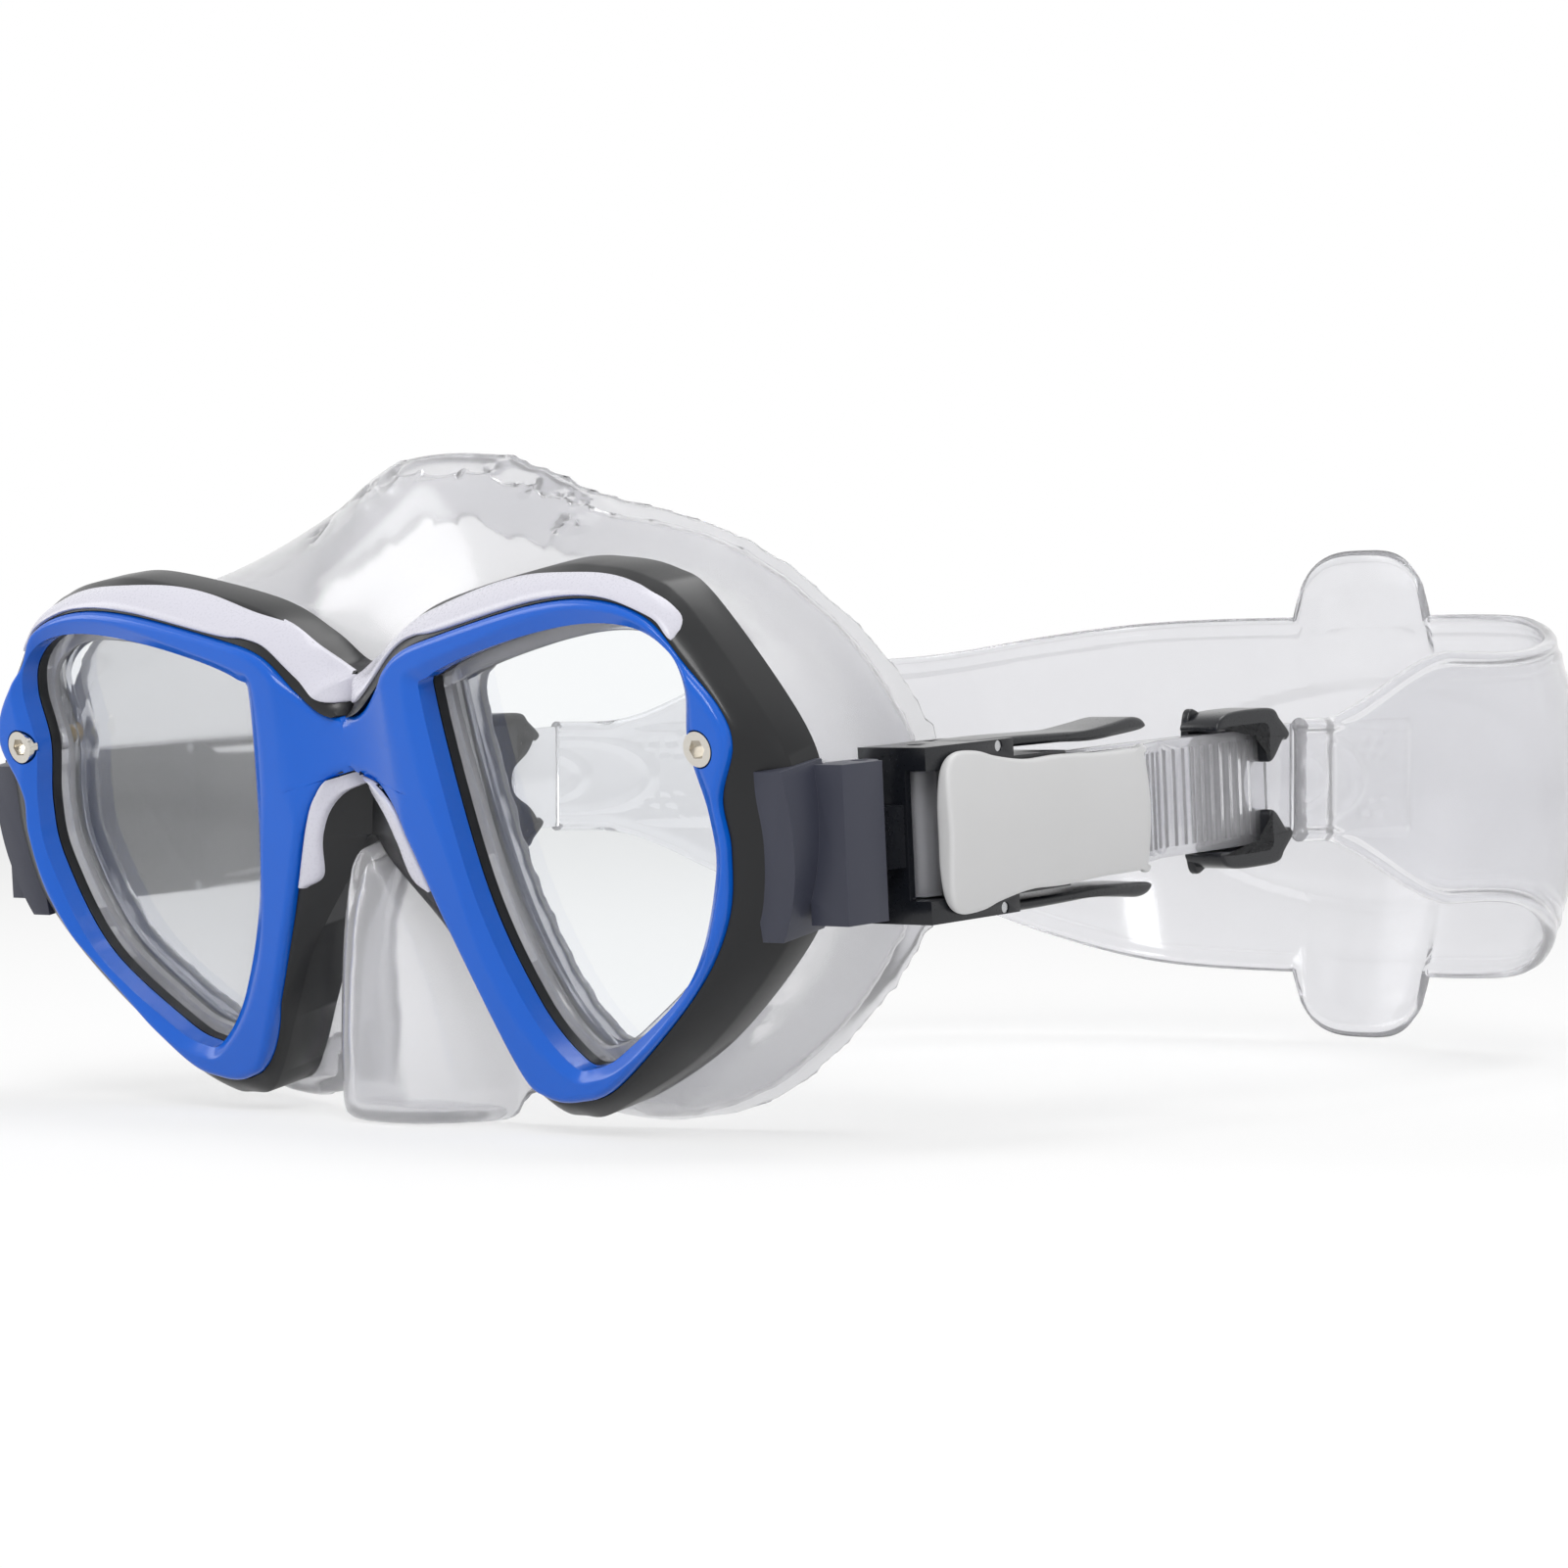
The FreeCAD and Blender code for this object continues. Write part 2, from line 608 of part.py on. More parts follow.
def make_bracket(side):
    """Side bracket: a saddle let into the frame, an arm and two knuckles for the hinge pin."""
    proud = slab(frame_outline(size.saddle_proud), size.saddle_front, size.saddle_rear)
    saddle = proud.common(saddle_block(side, 0.0))
    saddle.Placement = front_placement()
    half = size.bracket_height / 2
    start = size.knuckle_height / 2 + size.knuckle_gap
    radius = size.knuckle_radius
    knuckle = rod(radius, V(0, 0, start), V(0, 0, half))
    web = box(-radius, radius, -9.0, 0, start, half)
    pieces = [*top_and_bottom(knuckle.fuse(web))]
    bridge_rear = -(radius + size.knuckle_gap)
    pieces.append(box(-radius, radius, -9.0, bridge_rear, -half, half))
    pieces.append(box(radius - 0.4, radius + size.bracket_skin, -9.0, 0, -half, half))
    arm = joined(pieces).cut(rod(size.pin_radius + size.pin_clearance, V(0, 0, -half - 1), V(0, 0, half + 1)))
    arm = arm.cut(rod(radius + size.knuckle_gap, V(0, 0, -start), V(0, 0, start)))
    if side < 0:
        arm = mirror_x(arm)
    arm.Placement = buckle_placement(side)
    keep_clear = frame_block(side, 0, -60, 60, -5, size.saddle_rear + size.seat_clearance)
    outside = slab(frame_outline(size.seat_clearance), -5, size.frame_rear + size.seat_clearance)
    keep_clear = keep_clear.cut(proud_zone(side))
    blocked = outside.fuse(keep_clear)
    blocked.Placement = front_placement()
    return arm.cut(blocked).fuse(saddle).removeSplitter()


def proud_zone(side):
    """Space beside the frame that the bracket's arm may fill."""
    middle, half = size.saddle_middle, size.saddle_height / 2
    return frame_block(side, size.saddle_offset, middle - half, middle + half, size.saddle_front,
                       size.frame_rear + 30)


def make_buckle_body():
    half = size.buckle_height / 2
    slot = strap_slot()
    inside = -plate_inside()
    base = inside - size.base_plate
    knuckle = rod(size.knuckle_radius, V(0, 0, -size.knuckle_height / 2), V(0, 0, size.knuckle_height / 2))
    nose = box(-size.knuckle_radius + 0.5, size.knuckle_radius - 0.5, 0, 8.6, -size.knuckle_height / 2, size.knuckle_height / 2)
    front = size.roller_setback - strap_outside() - 1.0
    bar = box(base, size.knuckle_radius, front - 1.2, front, -half, half)
    plate = side_prism([(front - 1.2, -half), (26, -half), (30, -slot - 1.2), (size.buckle_length, -8),
                        (size.buckle_length, 8), (30, slot + 1.2), (26, half), (front - 1.2, half)], base, inside)
    cheek = side_prism([(front - 1.2, slot), (front - 1.2, half), (19.5, half), (19.5, slot + 0.8),
                        (40, slot + 0.7), (40, slot)], inside - 0.2, size.cover_seat)
    ear = box(size.lever_reach + size.side_gap, size.cover_seat, 19.5, 27.5, slot, half)
    pieces = [knuckle, nose, bar, plate, *top_and_bottom(cheek), *top_and_bottom(ear)]
    body = joined(pieces)
    body = body.cut(rod(size.pin_radius + size.pin_clearance, V(0, 0, -half), V(0, 0, half)))
    body = body.cut(rod(size.journal_radius + size.pin_clearance, V(0, size.roller_setback, -half - 1),
                        V(0, size.roller_setback, half + 1)))
    for sign in (1, -1):
        pivot = lever_axis(sign)
        body = body.cut(rod(size.lever_pin_radius + size.pin_clearance, pivot + V(-20, 0, 0), pivot + V(20, 0, 0)))
    x, y = pawl_x(), size.pawl_pivot
    return body.cut(rod(size.pawl_pin_radius + size.pin_clearance, V(x, y, -half), V(x, y, half)))


def lever_axis(sign):
    return V(0, size.lever_pivot, sign * (size.buckle_height / 2 - size.lever_pin_radius - 0.15))


def pawl_x():
    return strap_outside() + size.tooth_height + 0.75


def over_strap(back):
    """Inner face of a lever that just clears the strap's edge when the lever is squeezed."""
    swing = (back - size.lever_pivot) * math.tan(math.radians(size.lever_travel))
    return strap_half() + size.side_gap + swing


def make_lever():
    """Upper squeeze lever: a finger plate hung on its pin at the front."""
    half = size.buckle_height / 2
    inner = half - size.lever_thickness
    pivot = lever_axis(1)
    reach = size.lever_reach
    end = size.lever_end
    waist = 0.8 * end
    outline = [(20.2, inner), (20.2, half - 0.2), (40, half - 0.2), (waist, half - 0.4),
               (end, over_strap(end) + size.lever_thickness + 0.4), (end, over_strap(end)),
               (waist, over_strap(waist)), (40, inner)]
    inside = size.side_gap - plate_inside()
    plate = side_prism(outline, inside, reach)
    boss = rod(size.lever_pin_radius + 0.55, V(inside, pivot.y, pivot.z), V(reach, pivot.y, pivot.z))
    plate = plate.fuse(boss).removeSplitter()
    return plate.cut(rod(size.lever_pin_radius + size.pin_clearance, pivot + V(-20, 0, 0), pivot + V(20, 0, 0)))


def make_roller():
    slot = strap_slot() - 0.15
    centre = size.roller_setback
    end = size.buckle_height / 2 - 0.2
    drum = rod(size.roller_radius, V(0, centre, -slot), V(0, centre, slot))
    return drum.fuse(rod(size.journal_radius, V(0, centre, -end), V(0, centre, end))).removeSplitter()


def tail_inside():
    """Inner face of the loose tail where it lies on the strap."""
    return -bend_radius() + size.tail_gap


def make_strap_end():
    """Strap round the roller: the inner run, the bend and the toothed loose tail."""
    half = strap_half()
    near, far = bend_radius(), strap_outside()
    turn = size.roller_setback
    lean = half * math.tan(math.radians(size.buckle_pitch))
    inner = side_prism([(turn, -half), (size.strap_end - lean, -half), (size.strap_end + lean, half), (turn, half)],
                       -far, -near)
    ring = rod(far, V(0, turn, -half), V(0, turn, half)).cut(rod(near, V(0, turn, -half), V(0, turn, half)))
    ring = ring.common(box(-far, far, turn - far, turn, -half, half))
    low = tail_inside()
    thick = size.strap_thickness
    start, end = size.tail_slope_start, size.tail_slope_end
    tail = prism([(near, turn), (far, turn), (far, start), (low + thick, end), (low + thick, size.tail_end),
                  (low, size.tail_end), (low, end), (near, start)], -half, half)
    pieces = [inner, ring, tail]
    tooth_half = half - 1.6
    for number in range(int((size.tail_end - 2.0 - turn - 6.0) / size.tooth_pitch)):
        at = turn + 6.0 + number * size.tooth_pitch
        pieces.append(tooth(at, tooth_half))
    return joined(pieces)


def tail_face(at):
    """Outer face of the loose tail at one distance behind the hinge pin."""
    slope = min(1.0, max(0.0, (at - size.tail_slope_start) / (size.tail_slope_end - size.tail_slope_start)))
    high, low = strap_outside(), tail_inside() + size.strap_thickness
    return high + (low - high) * slope


def tooth(at, half):
    back = at + size.tooth_pitch * 0.6
    rise = size.tooth_height
    base, base_back = tail_face(at), tail_face(back)
    return prism([(base - 0.3, at), (base + rise, at + 0.2), (base_back - 0.3, back)], -half, half)


def make_cover():
    """White cover: a plate bent round the strap's length, tapered to the rear."""
    seat = size.cover_seat + 0.05
    crown = seat + size.cover_thickness + size.cover_crown
    front, rear = size.cover_front_height / 2, size.cover_rear_height / 2
    radius = (front * front + size.cover_crown ** 2) / (2 * size.cover_crown)
    outline = side_prism([(size.cover_front, -front), (30, -front), (size.cover_rear, -rear),
                          (size.cover_rear, rear), (30, front), (size.cover_front, front)], seat, crown + 1)
    outer = rod(radius, V(crown - radius, 0, 0), V(crown - radius, 80, 0))
    plate = outline.common(outer)
    inner_radius = radius - size.cover_thickness
    hollow = rod(inner_radius, V(crown - radius, size.cover_front + 1.4, 0), V(crown - radius, size.cover_rear - 1.4, 0))
    window = box(seat - 1, crown, size.cover_front + 1.4, size.cover_rear - 1.4, -rear + 1.6, rear - 1.6)
    return plate.cut(hollow.common(window))


def make_pawl():
    """Pawl that drops into the strap teeth, on its own cross pin."""
    x = pawl_x()
    pivot = size.pawl_pivot
    half = strap_half() - 1.6
    end = strap_slot() + 0.6
    tip = pivot - size.pawl_reach
    blade = prism([(x - 0.55, pivot), (x + 0.55, pivot), (x + 0.4, tip + 1), (x - 0.45, tip),
                   (x - 0.55, tip + 1.0)], -half, half)
    pin = rod(size.pawl_pin_radius, V(x, pivot, -end), V(x, pivot, end))
    return blade.fuse(pin).removeSplitter()


def make_keeper():
    wall, gap = size.keeper_wall, size.strap_clearance
    start, end = size.keeper_start, size.keeper_start + size.keeper_length
    inside, outside = -strap_outside() - gap, tail_inside() + size.strap_thickness + size.tooth_height + gap
    slot = strap_slot()
    outline = [(start, -slot - wall), (end - 5, -slot - wall), (end, -slot + 1.5), (end - 5, -2), (end - 5, 2),
               (end, slot - 1.5), (end - 5, slot + wall), (start, slot + wall)]
    block = side_prism(outline, inside - wall, outside + wall)
    hollow = box(inside, outside, start - 1, end + 1, -slot, slot)
    block = block.cut(hollow)
    window = box(outside - 1, outside + wall + 1, start + 7, end + 1, -6.2, 6.2)
    return block.cut(window)


def side_pieces(side, name):
    """Files every buckle piece of one side."""
    placed = buckle_placement(side)
    turned = (lambda shape: shape) if side > 0 else mirror_x
    keep("strap_bracket_" + name, make_bracket(side))
    half = size.pin_length / 2
    keep_pin("hinge_pin_" + name, "Sizes.pin_radius", "Sizes.pin_length",
             placed * FreeCAD.Placement(V(0, 0, -half), FreeCAD.Rotation()))
    keep("buckle_body_" + name, turned(make_buckle_body()), placed)
    keep("buckle_cover_" + name, turned(make_cover()), placed)
    keep("strap_roller_" + name, turned(make_roller()), placed)
    keep("strap_end_" + name, turned(make_strap_end()), placed)
    keep("lock_pawl_" + name, turned(make_pawl()), placed)
    keep("strap_keeper_" + name, turned(make_keeper()), placed)
    upper, lower = top_and_bottom(make_lever())
    keep("lever_upper_" + name, turned(upper), placed)
    keep("lever_lower_" + name, turned(lower), placed)
    start = -(plate_inside() + size.base_plate - 0.2) if side > 0 else 0.2 - size.cover_seat
    along_x = FreeCAD.Rotation(V(0, 1, 0), 90)
    for place, sign in (("upper", 1), ("lower", -1)):
        pivot = lever_axis(sign)
        keep_pin("lever_pin_%s_%s" % (place, name), "Sizes.lever_pin_radius",
                 "Sizes.cover_seat + Sizes.base_plate + Sizes.roller_radius + Sizes.strap_thickness",
                 placed * FreeCAD.Placement(V(start, pivot.y, pivot.z), along_x))


for side, name in ((1, "left"), (-1, "right")):
    side_pieces(side, name)


# Head strap: a band bent in plan, trimmed by its heights

# Rear pad seen from above: across, and ahead of the pad's middle
PAD_PLAN = [(79.6, 122), (76, 83), (70.5, 47), (60, 26), (38, 8), (0, 0)]


def pad_path():
    return [(x, size.headstrap_reach - ahead) for x, ahead in PAD_PLAN]


def row_back(y):
    return y - size.front_setback


def band(path, thickness, z0, z1):
    """A band of even thickness whose middle follows a smooth path seen from above."""
    curve = Part.BSplineCurve()
    curve.interpolate([V(x, row_back(y), z0) for x, y in path])
    half = thickness / 2
    edges = []
    for offset in (half, -half):
        points = []
        for i in range(25):
            u = curve.FirstParameter + (curve.LastParameter - curve.FirstParameter) * i / 24
            tangent = curve.tangent(u)[0]
            points.append(curve.value(u) + V(tangent.y, -tangent.x, 0) * offset)
        side = Part.BSplineCurve()
        side.interpolate(points)
        edges.append(side)
    first, second = edges
    outline = Part.Wire([first.toShape(), Part.LineSegment(first.EndPoint, second.EndPoint).toShape(),
                         second.toShape(), Part.LineSegment(second.StartPoint, first.StartPoint).toShape()])
    return Part.Face(outline).extrude(V(0, 0, z1 - z0))


def strap_middle():
    """Height of the strap's middle where the straight strap ends."""
    return buckle_placement(1).multVec(V(0, size.strap_end, 0)).z


def strap_join(side):
    """Middle of the end of the straight strap, in the row frame."""
    middle = -(bend_radius() + strap_outside()) / 2
    return buckle_placement(side).multVec(V(side * middle, size.strap_end + 0.3, 0))


def make_strap_side():
    start = strap_join(1)
    back = start.y + size.front_setback
    end = pad_path()[0]
    path = [(start.x, back), ((start.x + end[0]) / 2 + 0.4, (back + end[1]) / 2), end]
    half = size.headstrap_height / 2
    middle = strap_middle()
    return band(path, size.headstrap_thickness, middle - half, middle + half)


def eased(share):
    """Nought to one, with a soft start and end."""
    share = min(1.0, max(0.0, share))
    return share * share * (3 - 2 * share)


def make_rear_pad():
    """Rear pad of the head strap with its two lift tabs."""
    path = pad_path()
    path[0] = (path[0][0], path[0][1] + 0.3)
    path += [(-x, y) for x, y in reversed(path[:-1])]
    whole = band(path, size.headstrap_thickness, 0, 120)
    middle, half = size.pad_middle, size.pad_height / 2
    arm, arm_middle = size.headstrap_height / 2, strap_middle()
    upper, lower = [], []
    for number in range(15):
        y = size.pad_front - 10.0 + 10.0 * number
        wing = eased((y - size.pad_front) / size.pad_flare) * (size.wing_height - size.headstrap_height) / 2
        crown = eased((y - size.pad_front - size.pad_flare) / (size.headstrap_reach - size.pad_front - size.pad_flare))
        share = crown * crown
        top_height = (arm_middle + arm + wing) * (1 - share) + (middle + half) * share
        low_height = (arm_middle - arm - wing) * (1 - share) + (middle - half) * share
        upper.append(V(0, row_back(y), top_height))
        lower.append(V(0, row_back(y), low_height))
    top, bottom = Part.BSplineCurve(), Part.BSplineCurve()
    top.interpolate(upper)
    bottom.interpolate(lower)
    outline = Part.Wire([top.toShape(), Part.LineSegment(upper[-1], lower[-1]).toShape(), bottom.toShape(),
                         Part.LineSegment(lower[0], upper[0]).toShape()])
    face = Part.Face(outline)
    face.translate(V(-120, 0, 0))
    profile = face.extrude(V(240, 0, 0))
    tab_half = size.tab_width / 2
    low, high = size.tab_bottom, size.tab_top
    upright = FreeCAD.Placement(V(0, 200, middle), FreeCAD.Rotation())
    top_tab = [(-tab_half - 3, half - 6), (-tab_half * 0.85, high - middle - 7), (-tab_half * 0.5, high - middle - 1),
               (0, high - middle), (tab_half * 0.5, high - middle - 1), (tab_half * 0.85, high - middle - 7),
               (tab_half + 3, half - 6)]
    fall = (middle - low) / (high - middle)
    low_tab = [(x, -v * fall) for x, v in reversed(top_tab)]
    tab_block = slab(top_tab + low_tab, 0, 80)
    tab_block.Placement = upright
    return whole.common(profile.fuse(tab_block))


strap_side = make_strap_side()
keep("strap_side_left", strap_side)
keep("strap_side_right", mirror_x(strap_side))
keep("strap_rear_pad", make_rear_pad())
make_front_parts()
doc.recompute()
os.makedirs("parts", exist_ok=True)
faults = [thing.Label for thing in doc.Objects if "Invalid" in thing.State or "Error" in thing.State]
faults += [piece.Label for piece in sub_parts if piece.Shape.isNull() or not piece.Shape.isValid()]
if faults:
    raise RuntimeError("not built: " + ", ".join(sorted(set(faults))))
for piece in sub_parts:
    piece.Shape.exportStep("parts/%s.step" % piece.Label)
    print(piece.Label, len(piece.Shape.Solids), round(piece.Shape.Volume, 1))
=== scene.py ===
import math

import bmesh
import bpy
import numpy as np
from mathutils import Matrix, Vector


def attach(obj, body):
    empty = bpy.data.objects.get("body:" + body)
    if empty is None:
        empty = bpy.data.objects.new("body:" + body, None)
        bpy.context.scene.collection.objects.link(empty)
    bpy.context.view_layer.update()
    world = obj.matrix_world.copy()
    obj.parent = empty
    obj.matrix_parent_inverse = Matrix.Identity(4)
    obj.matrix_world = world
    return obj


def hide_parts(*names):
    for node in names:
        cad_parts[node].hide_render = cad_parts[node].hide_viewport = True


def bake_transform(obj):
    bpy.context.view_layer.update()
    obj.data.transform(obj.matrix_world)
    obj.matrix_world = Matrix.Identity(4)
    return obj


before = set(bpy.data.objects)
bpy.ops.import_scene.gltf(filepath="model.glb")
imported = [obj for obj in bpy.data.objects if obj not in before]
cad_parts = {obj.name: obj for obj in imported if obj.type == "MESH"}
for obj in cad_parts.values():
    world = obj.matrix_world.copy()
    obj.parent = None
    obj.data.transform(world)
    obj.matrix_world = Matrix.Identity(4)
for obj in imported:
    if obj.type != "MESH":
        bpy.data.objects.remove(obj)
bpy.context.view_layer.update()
scene = bpy.context.scene
toMetres = 0.001   # every size below is in millimetres, as the mask is drawn

# Small helpers: colours, nodes, meshes


def linearColour(hexCode):
    # sRGB hex to the linear colour that shaders use
    parts = [int(hexCode[i:i + 2], 16) / 255 for i in (1, 3, 5)]
    return tuple(c / 12.92 if c <= 0.04045 else ((c + 0.055) / 1.055) ** 2.4 for c in parts) + (1.0,)


def addNode(tree, kind, settings=None, links=None):
    # one node with its settings and the links that feed it
    node = tree.nodes.new(kind)
    for key, value in (settings or {}).items():
        if key in node.inputs:
            node.inputs[key].default_value = value
        else:
            setattr(node, key, value)
    for key, source in (links or {}).items():
        tree.links.new(source, node.inputs[key])
    return node


def startMaterial(name):
    material = bpy.data.materials.new(name)
    material.use_nodes = True
    tree = material.node_tree
    tree.nodes.clear()
    output = tree.nodes.new("ShaderNodeOutputMaterial")
    place = tree.nodes.new("ShaderNodeTexCoord").outputs["Object"]
    return material, tree, output, place


def mouldedPlastic(name, look):
    # injection moulded ABS or acetal: even colour, faint mottling from the flow, and a fine satin or gloss skin
    material, tree, output, place = startMaterial(name)
    flow = addNode(tree, "ShaderNodeTexNoise", {"Scale": look["flowPerMetre"], "Detail": 3.0}, {"Vector": place})
    grain = addNode(tree, "ShaderNodeTexNoise", {"Scale": look["grainPerMetre"], "Detail": 2.0}, {"Vector": place})
    tint = addNode(tree, "ShaderNodeMix", {"data_type": "RGBA"}, {"Factor": flow.outputs["Fac"]})
    tint.inputs["A"].default_value = linearColour(look["colour"])
    tint.inputs["B"].default_value = linearColour(look["colourTwo"])
    rough = addNode(tree, "ShaderNodeMapRange", {"To Min": look["roughLow"], "To Max": look["roughHigh"]},
                    {"Value": grain.outputs["Fac"]})
    bump = addNode(tree, "ShaderNodeBump", {"Strength": look["bump"], "Distance": 0.0001},
                   {"Height": grain.outputs["Fac"]})
    shader = addNode(tree, "ShaderNodeBsdfPrincipled", {"IOR": 1.5, "Specular IOR Level": 0.35, "Coat Weight": look["coat"],
                     "Coat Roughness": look["coatRough"]},
                     {"Base Color": tint.outputs["Result"], "Roughness": rough.outputs["Result"],
                      "Normal": bump.outputs["Normal"]})
    tree.links.new(shader.outputs["BSDF"], output.inputs["Surface"])
    return material


def makeMesh(name, points, faces, material, body, replaced=(), smooth=True):
    # points in millimetres become one mesh that rides on a body
    mesh = bpy.data.meshes.new(name)
    mesh.from_pydata((np.asarray(points, float).reshape(-1, 3) * toMetres).tolist(), [], faces)
    mesh.validate()
    mesh.polygons.foreach_set("use_smooth", [smooth] * len(mesh.polygons))
    mesh.materials.append(material)
    thing = bpy.data.objects.new(name, mesh)
    scene.collection.objects.link(thing)
    if body:
        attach(thing, body)
    if replaced:
        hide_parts(*replaced)
    return thing


def gridFaces(rows, columns, closeRows=False, closeColumns=False):
    # quads between neighbours of a rows by columns grid
    r = np.arange(rows if closeRows else rows - 1)
    c = np.arange(columns if closeColumns else columns - 1)
    a, b = np.meshgrid(r, c, indexing="ij")
    a2, b2 = (a + 1) % rows, (b + 1) % columns
    quads = np.stack([a * columns + b, a * columns + b2, a2 * columns + b2, a2 * columns + b], -1)
    return quads.reshape(-1, 4).tolist()


def tidyNormals(thing, weld=0.00002):
    # welds doubles, drops slivers and points every face outward
    mesh = bmesh.new()
    mesh.from_mesh(thing.data)
    bmesh.ops.remove_doubles(mesh, verts=mesh.verts, dist=weld)
    bmesh.ops.dissolve_degenerate(mesh, edges=mesh.edges, dist=weld / 4)
    bmesh.ops.recalc_face_normals(mesh, faces=mesh.faces)
    mesh.to_mesh(thing.data)
    mesh.free()


def addModifier(thing, kind, **settings):
    modifier = thing.modifiers.new(kind.lower(), kind)
    for key, value in settings.items():
        setattr(modifier, key, value)
    return modifier


def bakeModifiers(thing):
    # swaps the mesh for its finished form
    graph = bpy.context.evaluated_depsgraph_get()
    finished = bpy.data.meshes.new_from_object(thing.evaluated_get(graph))
    thing.modifiers.clear()
    thing.data = finished


def loopThrough(points, count, closed=True):
    # Catmull-Rom curve through the points, spaced evenly along its length
    p = np.asarray(points, float)
    if closed:
        before, after, last = np.roll(p, 1, 0), np.roll(p, -1, 0), np.roll(p, -2, 0)
        start = p
    else:
        padded = np.vstack([2 * p[0] - p[1], p, 2 * p[-1] - p[-2]])
        before, start, after, last = padded[:-3], padded[1:-2], padded[2:-1], padded[3:]
    t = np.linspace(0, 1, 24, endpoint=False)[None, :, None]
    b, s, a, l = (q[:, None, :] for q in (before, start, after, last))
    dense = 0.5 * (2 * s + (a - b) * t + (2 * b - 5 * s + 4 * a - l) * t ** 2 + (3 * s - b - 3 * a + l) * t ** 3)
    dense = dense.reshape(-1, p.shape[1])
    dense = np.vstack([dense, p[:1] if closed else p[-1:]])
    length = np.concatenate([[0], np.cumsum(np.linalg.norm(np.diff(dense, axis=0), axis=1))])
    at = np.linspace(0, length[-1], count + 1)[:-1] if closed else np.linspace(0, length[-1], count)
    return np.stack([np.interp(at, length, dense[:, k]) for k in range(p.shape[1])], 1)


def mirrored(half):
    # a whole loop from the wearer's left half, whose first and last points lie on the middle line
    half = np.asarray(half, float)
    return np.vstack([half, half[-2:0:-1] * [-1, 1]])


def distanceTo(points, loop):
    # shortest distance from each point to a dense loop
    flat = points.reshape(-1, 1, 2)
    start, end = loop, np.roll(loop, -1, 0)
    way = end - start
    t = np.clip(((flat - start) * way).sum(-1) / np.maximum((way * way).sum(-1), 1e-9), 0, 1)
    nearest = start + way * t[..., None]
    return np.linalg.norm(flat - nearest, axis=-1).min(-1).reshape(points.shape[:-1])


def inside(points, loop):
    # true where a point lies in the loop: counts the edges to its right
    x, y = points[..., 0][..., None], points[..., 1][..., None]
    x1, y1 = loop[:, 0], loop[:, 1]
    x2, y2 = np.roll(x1, -1), np.roll(y1, -1)
    crosses = (y1 > y) != (y2 > y)
    edge = x1 + (y - y1) * (x2 - x1) / np.where(y2 == y1, 1e-9, y2 - y1)
    return (crosses & (x < edge)).sum(-1) % 2 == 1


def eased(t):
    t = np.clip(t, 0, 1)
    return t * t * (3 - 2 * t)


# The tilted front plane

front = {"tilt": 12.5, "height": 57.7, "setback": 18.0, "eyeCentre": (46.0, -14.0), "screwAt": 75.0}


def frontPoint(across, depth, up):
    # the front plane leans: back by depth and up along the plane, in the row frame
    tilt = math.radians(front["tilt"])
    y = depth * math.cos(tilt) - up * math.sin(tilt) - front["setback"]
    z = depth * math.sin(tilt) + up * math.cos(tilt) + front["height"]
    return np.stack(np.broadcast_arrays(across, y, z), -1)


bezelHalf = [
    (0, 4.2), (4.5, 5.2), (9.2, 8.8), (15.4, 14.1), (25, 17), (45, 21.1), (58, 21.6), (67.5, 18.7), (73.3, 12.3),
    (79.0, 5.6), (80.4, 0), (77.0, -7.6), (77.2, -15), (74.6, -25.5), (66.1, -36.6), (48.4, -50.9), (39.8, -54),
    (33, -53.6), (28, -49.3), (18.2, -29.1), (11.3, -12.8), (7.6, -7.4), (4, -4.9), (0, -4.1)]
frameHalf = [
    (0, 10.5), (4, 11.3), (10, 15.7), (21, 21), (44, 25.7), (55, 25.8), (64, 24), (71, 19.6), (84, 1.5), (86.4, -9),
    (85.2, -21), (79.8, -31), (62, -46.4), (44, -56), (37, -57.2), (31, -55.6), (24, -44.5), (16.2, -32),
    (4.6, -19.6), (0, -14.5)]
lensOutline = [
    (19.1, 6.4), (21.5, 10.8), (36.4, 15.3), (52.9, 18.1), (64.4, 17.6), (71.0, 14.0), (73.2, 8.5), (72.2, 0),
    (74.3, -10), (73.6, -19.5), (65.9, -34.4), (50.5, -45.8), (43.5, -48.8), (38.6, -48.2), (31, -39.5),
    (23.5, -21.5)]
browTopHalf = [(0, 10.0), (4.2, 12.4), (8.2, 14.6), (13.5, 18.0), (20.5, 20.4), (31, 23.3), (41, 24.9), (52.2, 25.2),
               (60.4, 24.3), (67.2, 21.8), (70.6, 19.2), (71.9, 17.0), (71.6, 15.0)]
archInnerHalf = [(0, -6.5), (3.2, -7.7), (6.2, -10.6), (8.4, -15), (9.9, -20.6), (13.6, -22.6)]

bezelLoop = loopThrough(mirrored(bezelHalf), 700)
frameLoop = loopThrough(mirrored(frameHalf), 700)
lensLoop = loopThrough(lensOutline, 400)


def halfLoop(half, count=500):
    # the wearer's left half of an outline, closed along the middle line
    whole = loopThrough(mirrored(half), 2 * count)
    kept = whole[whole[:, 0] >= 0]
    order = np.argsort(np.arange(len(kept)))
    kept = kept[order]
    top, bottom = half[0][1], half[-1][1]
    middle = np.stack([np.zeros(40), np.linspace(bottom, top, 40)], 1)
    return np.vstack([kept, middle])


def reachAt(loop, angles):
    # distance from the middle of the eye to the loop, in each direction
    offset = loop - front["eyeCentre"]
    turn = np.arctan2(offset[:, 1], offset[:, 0]) % (2 * math.pi)
    order = np.argsort(turn)
    return np.interp(angles % (2 * math.pi), turn[order], np.linalg.norm(offset[order], axis=1), period=2 * math.pi)


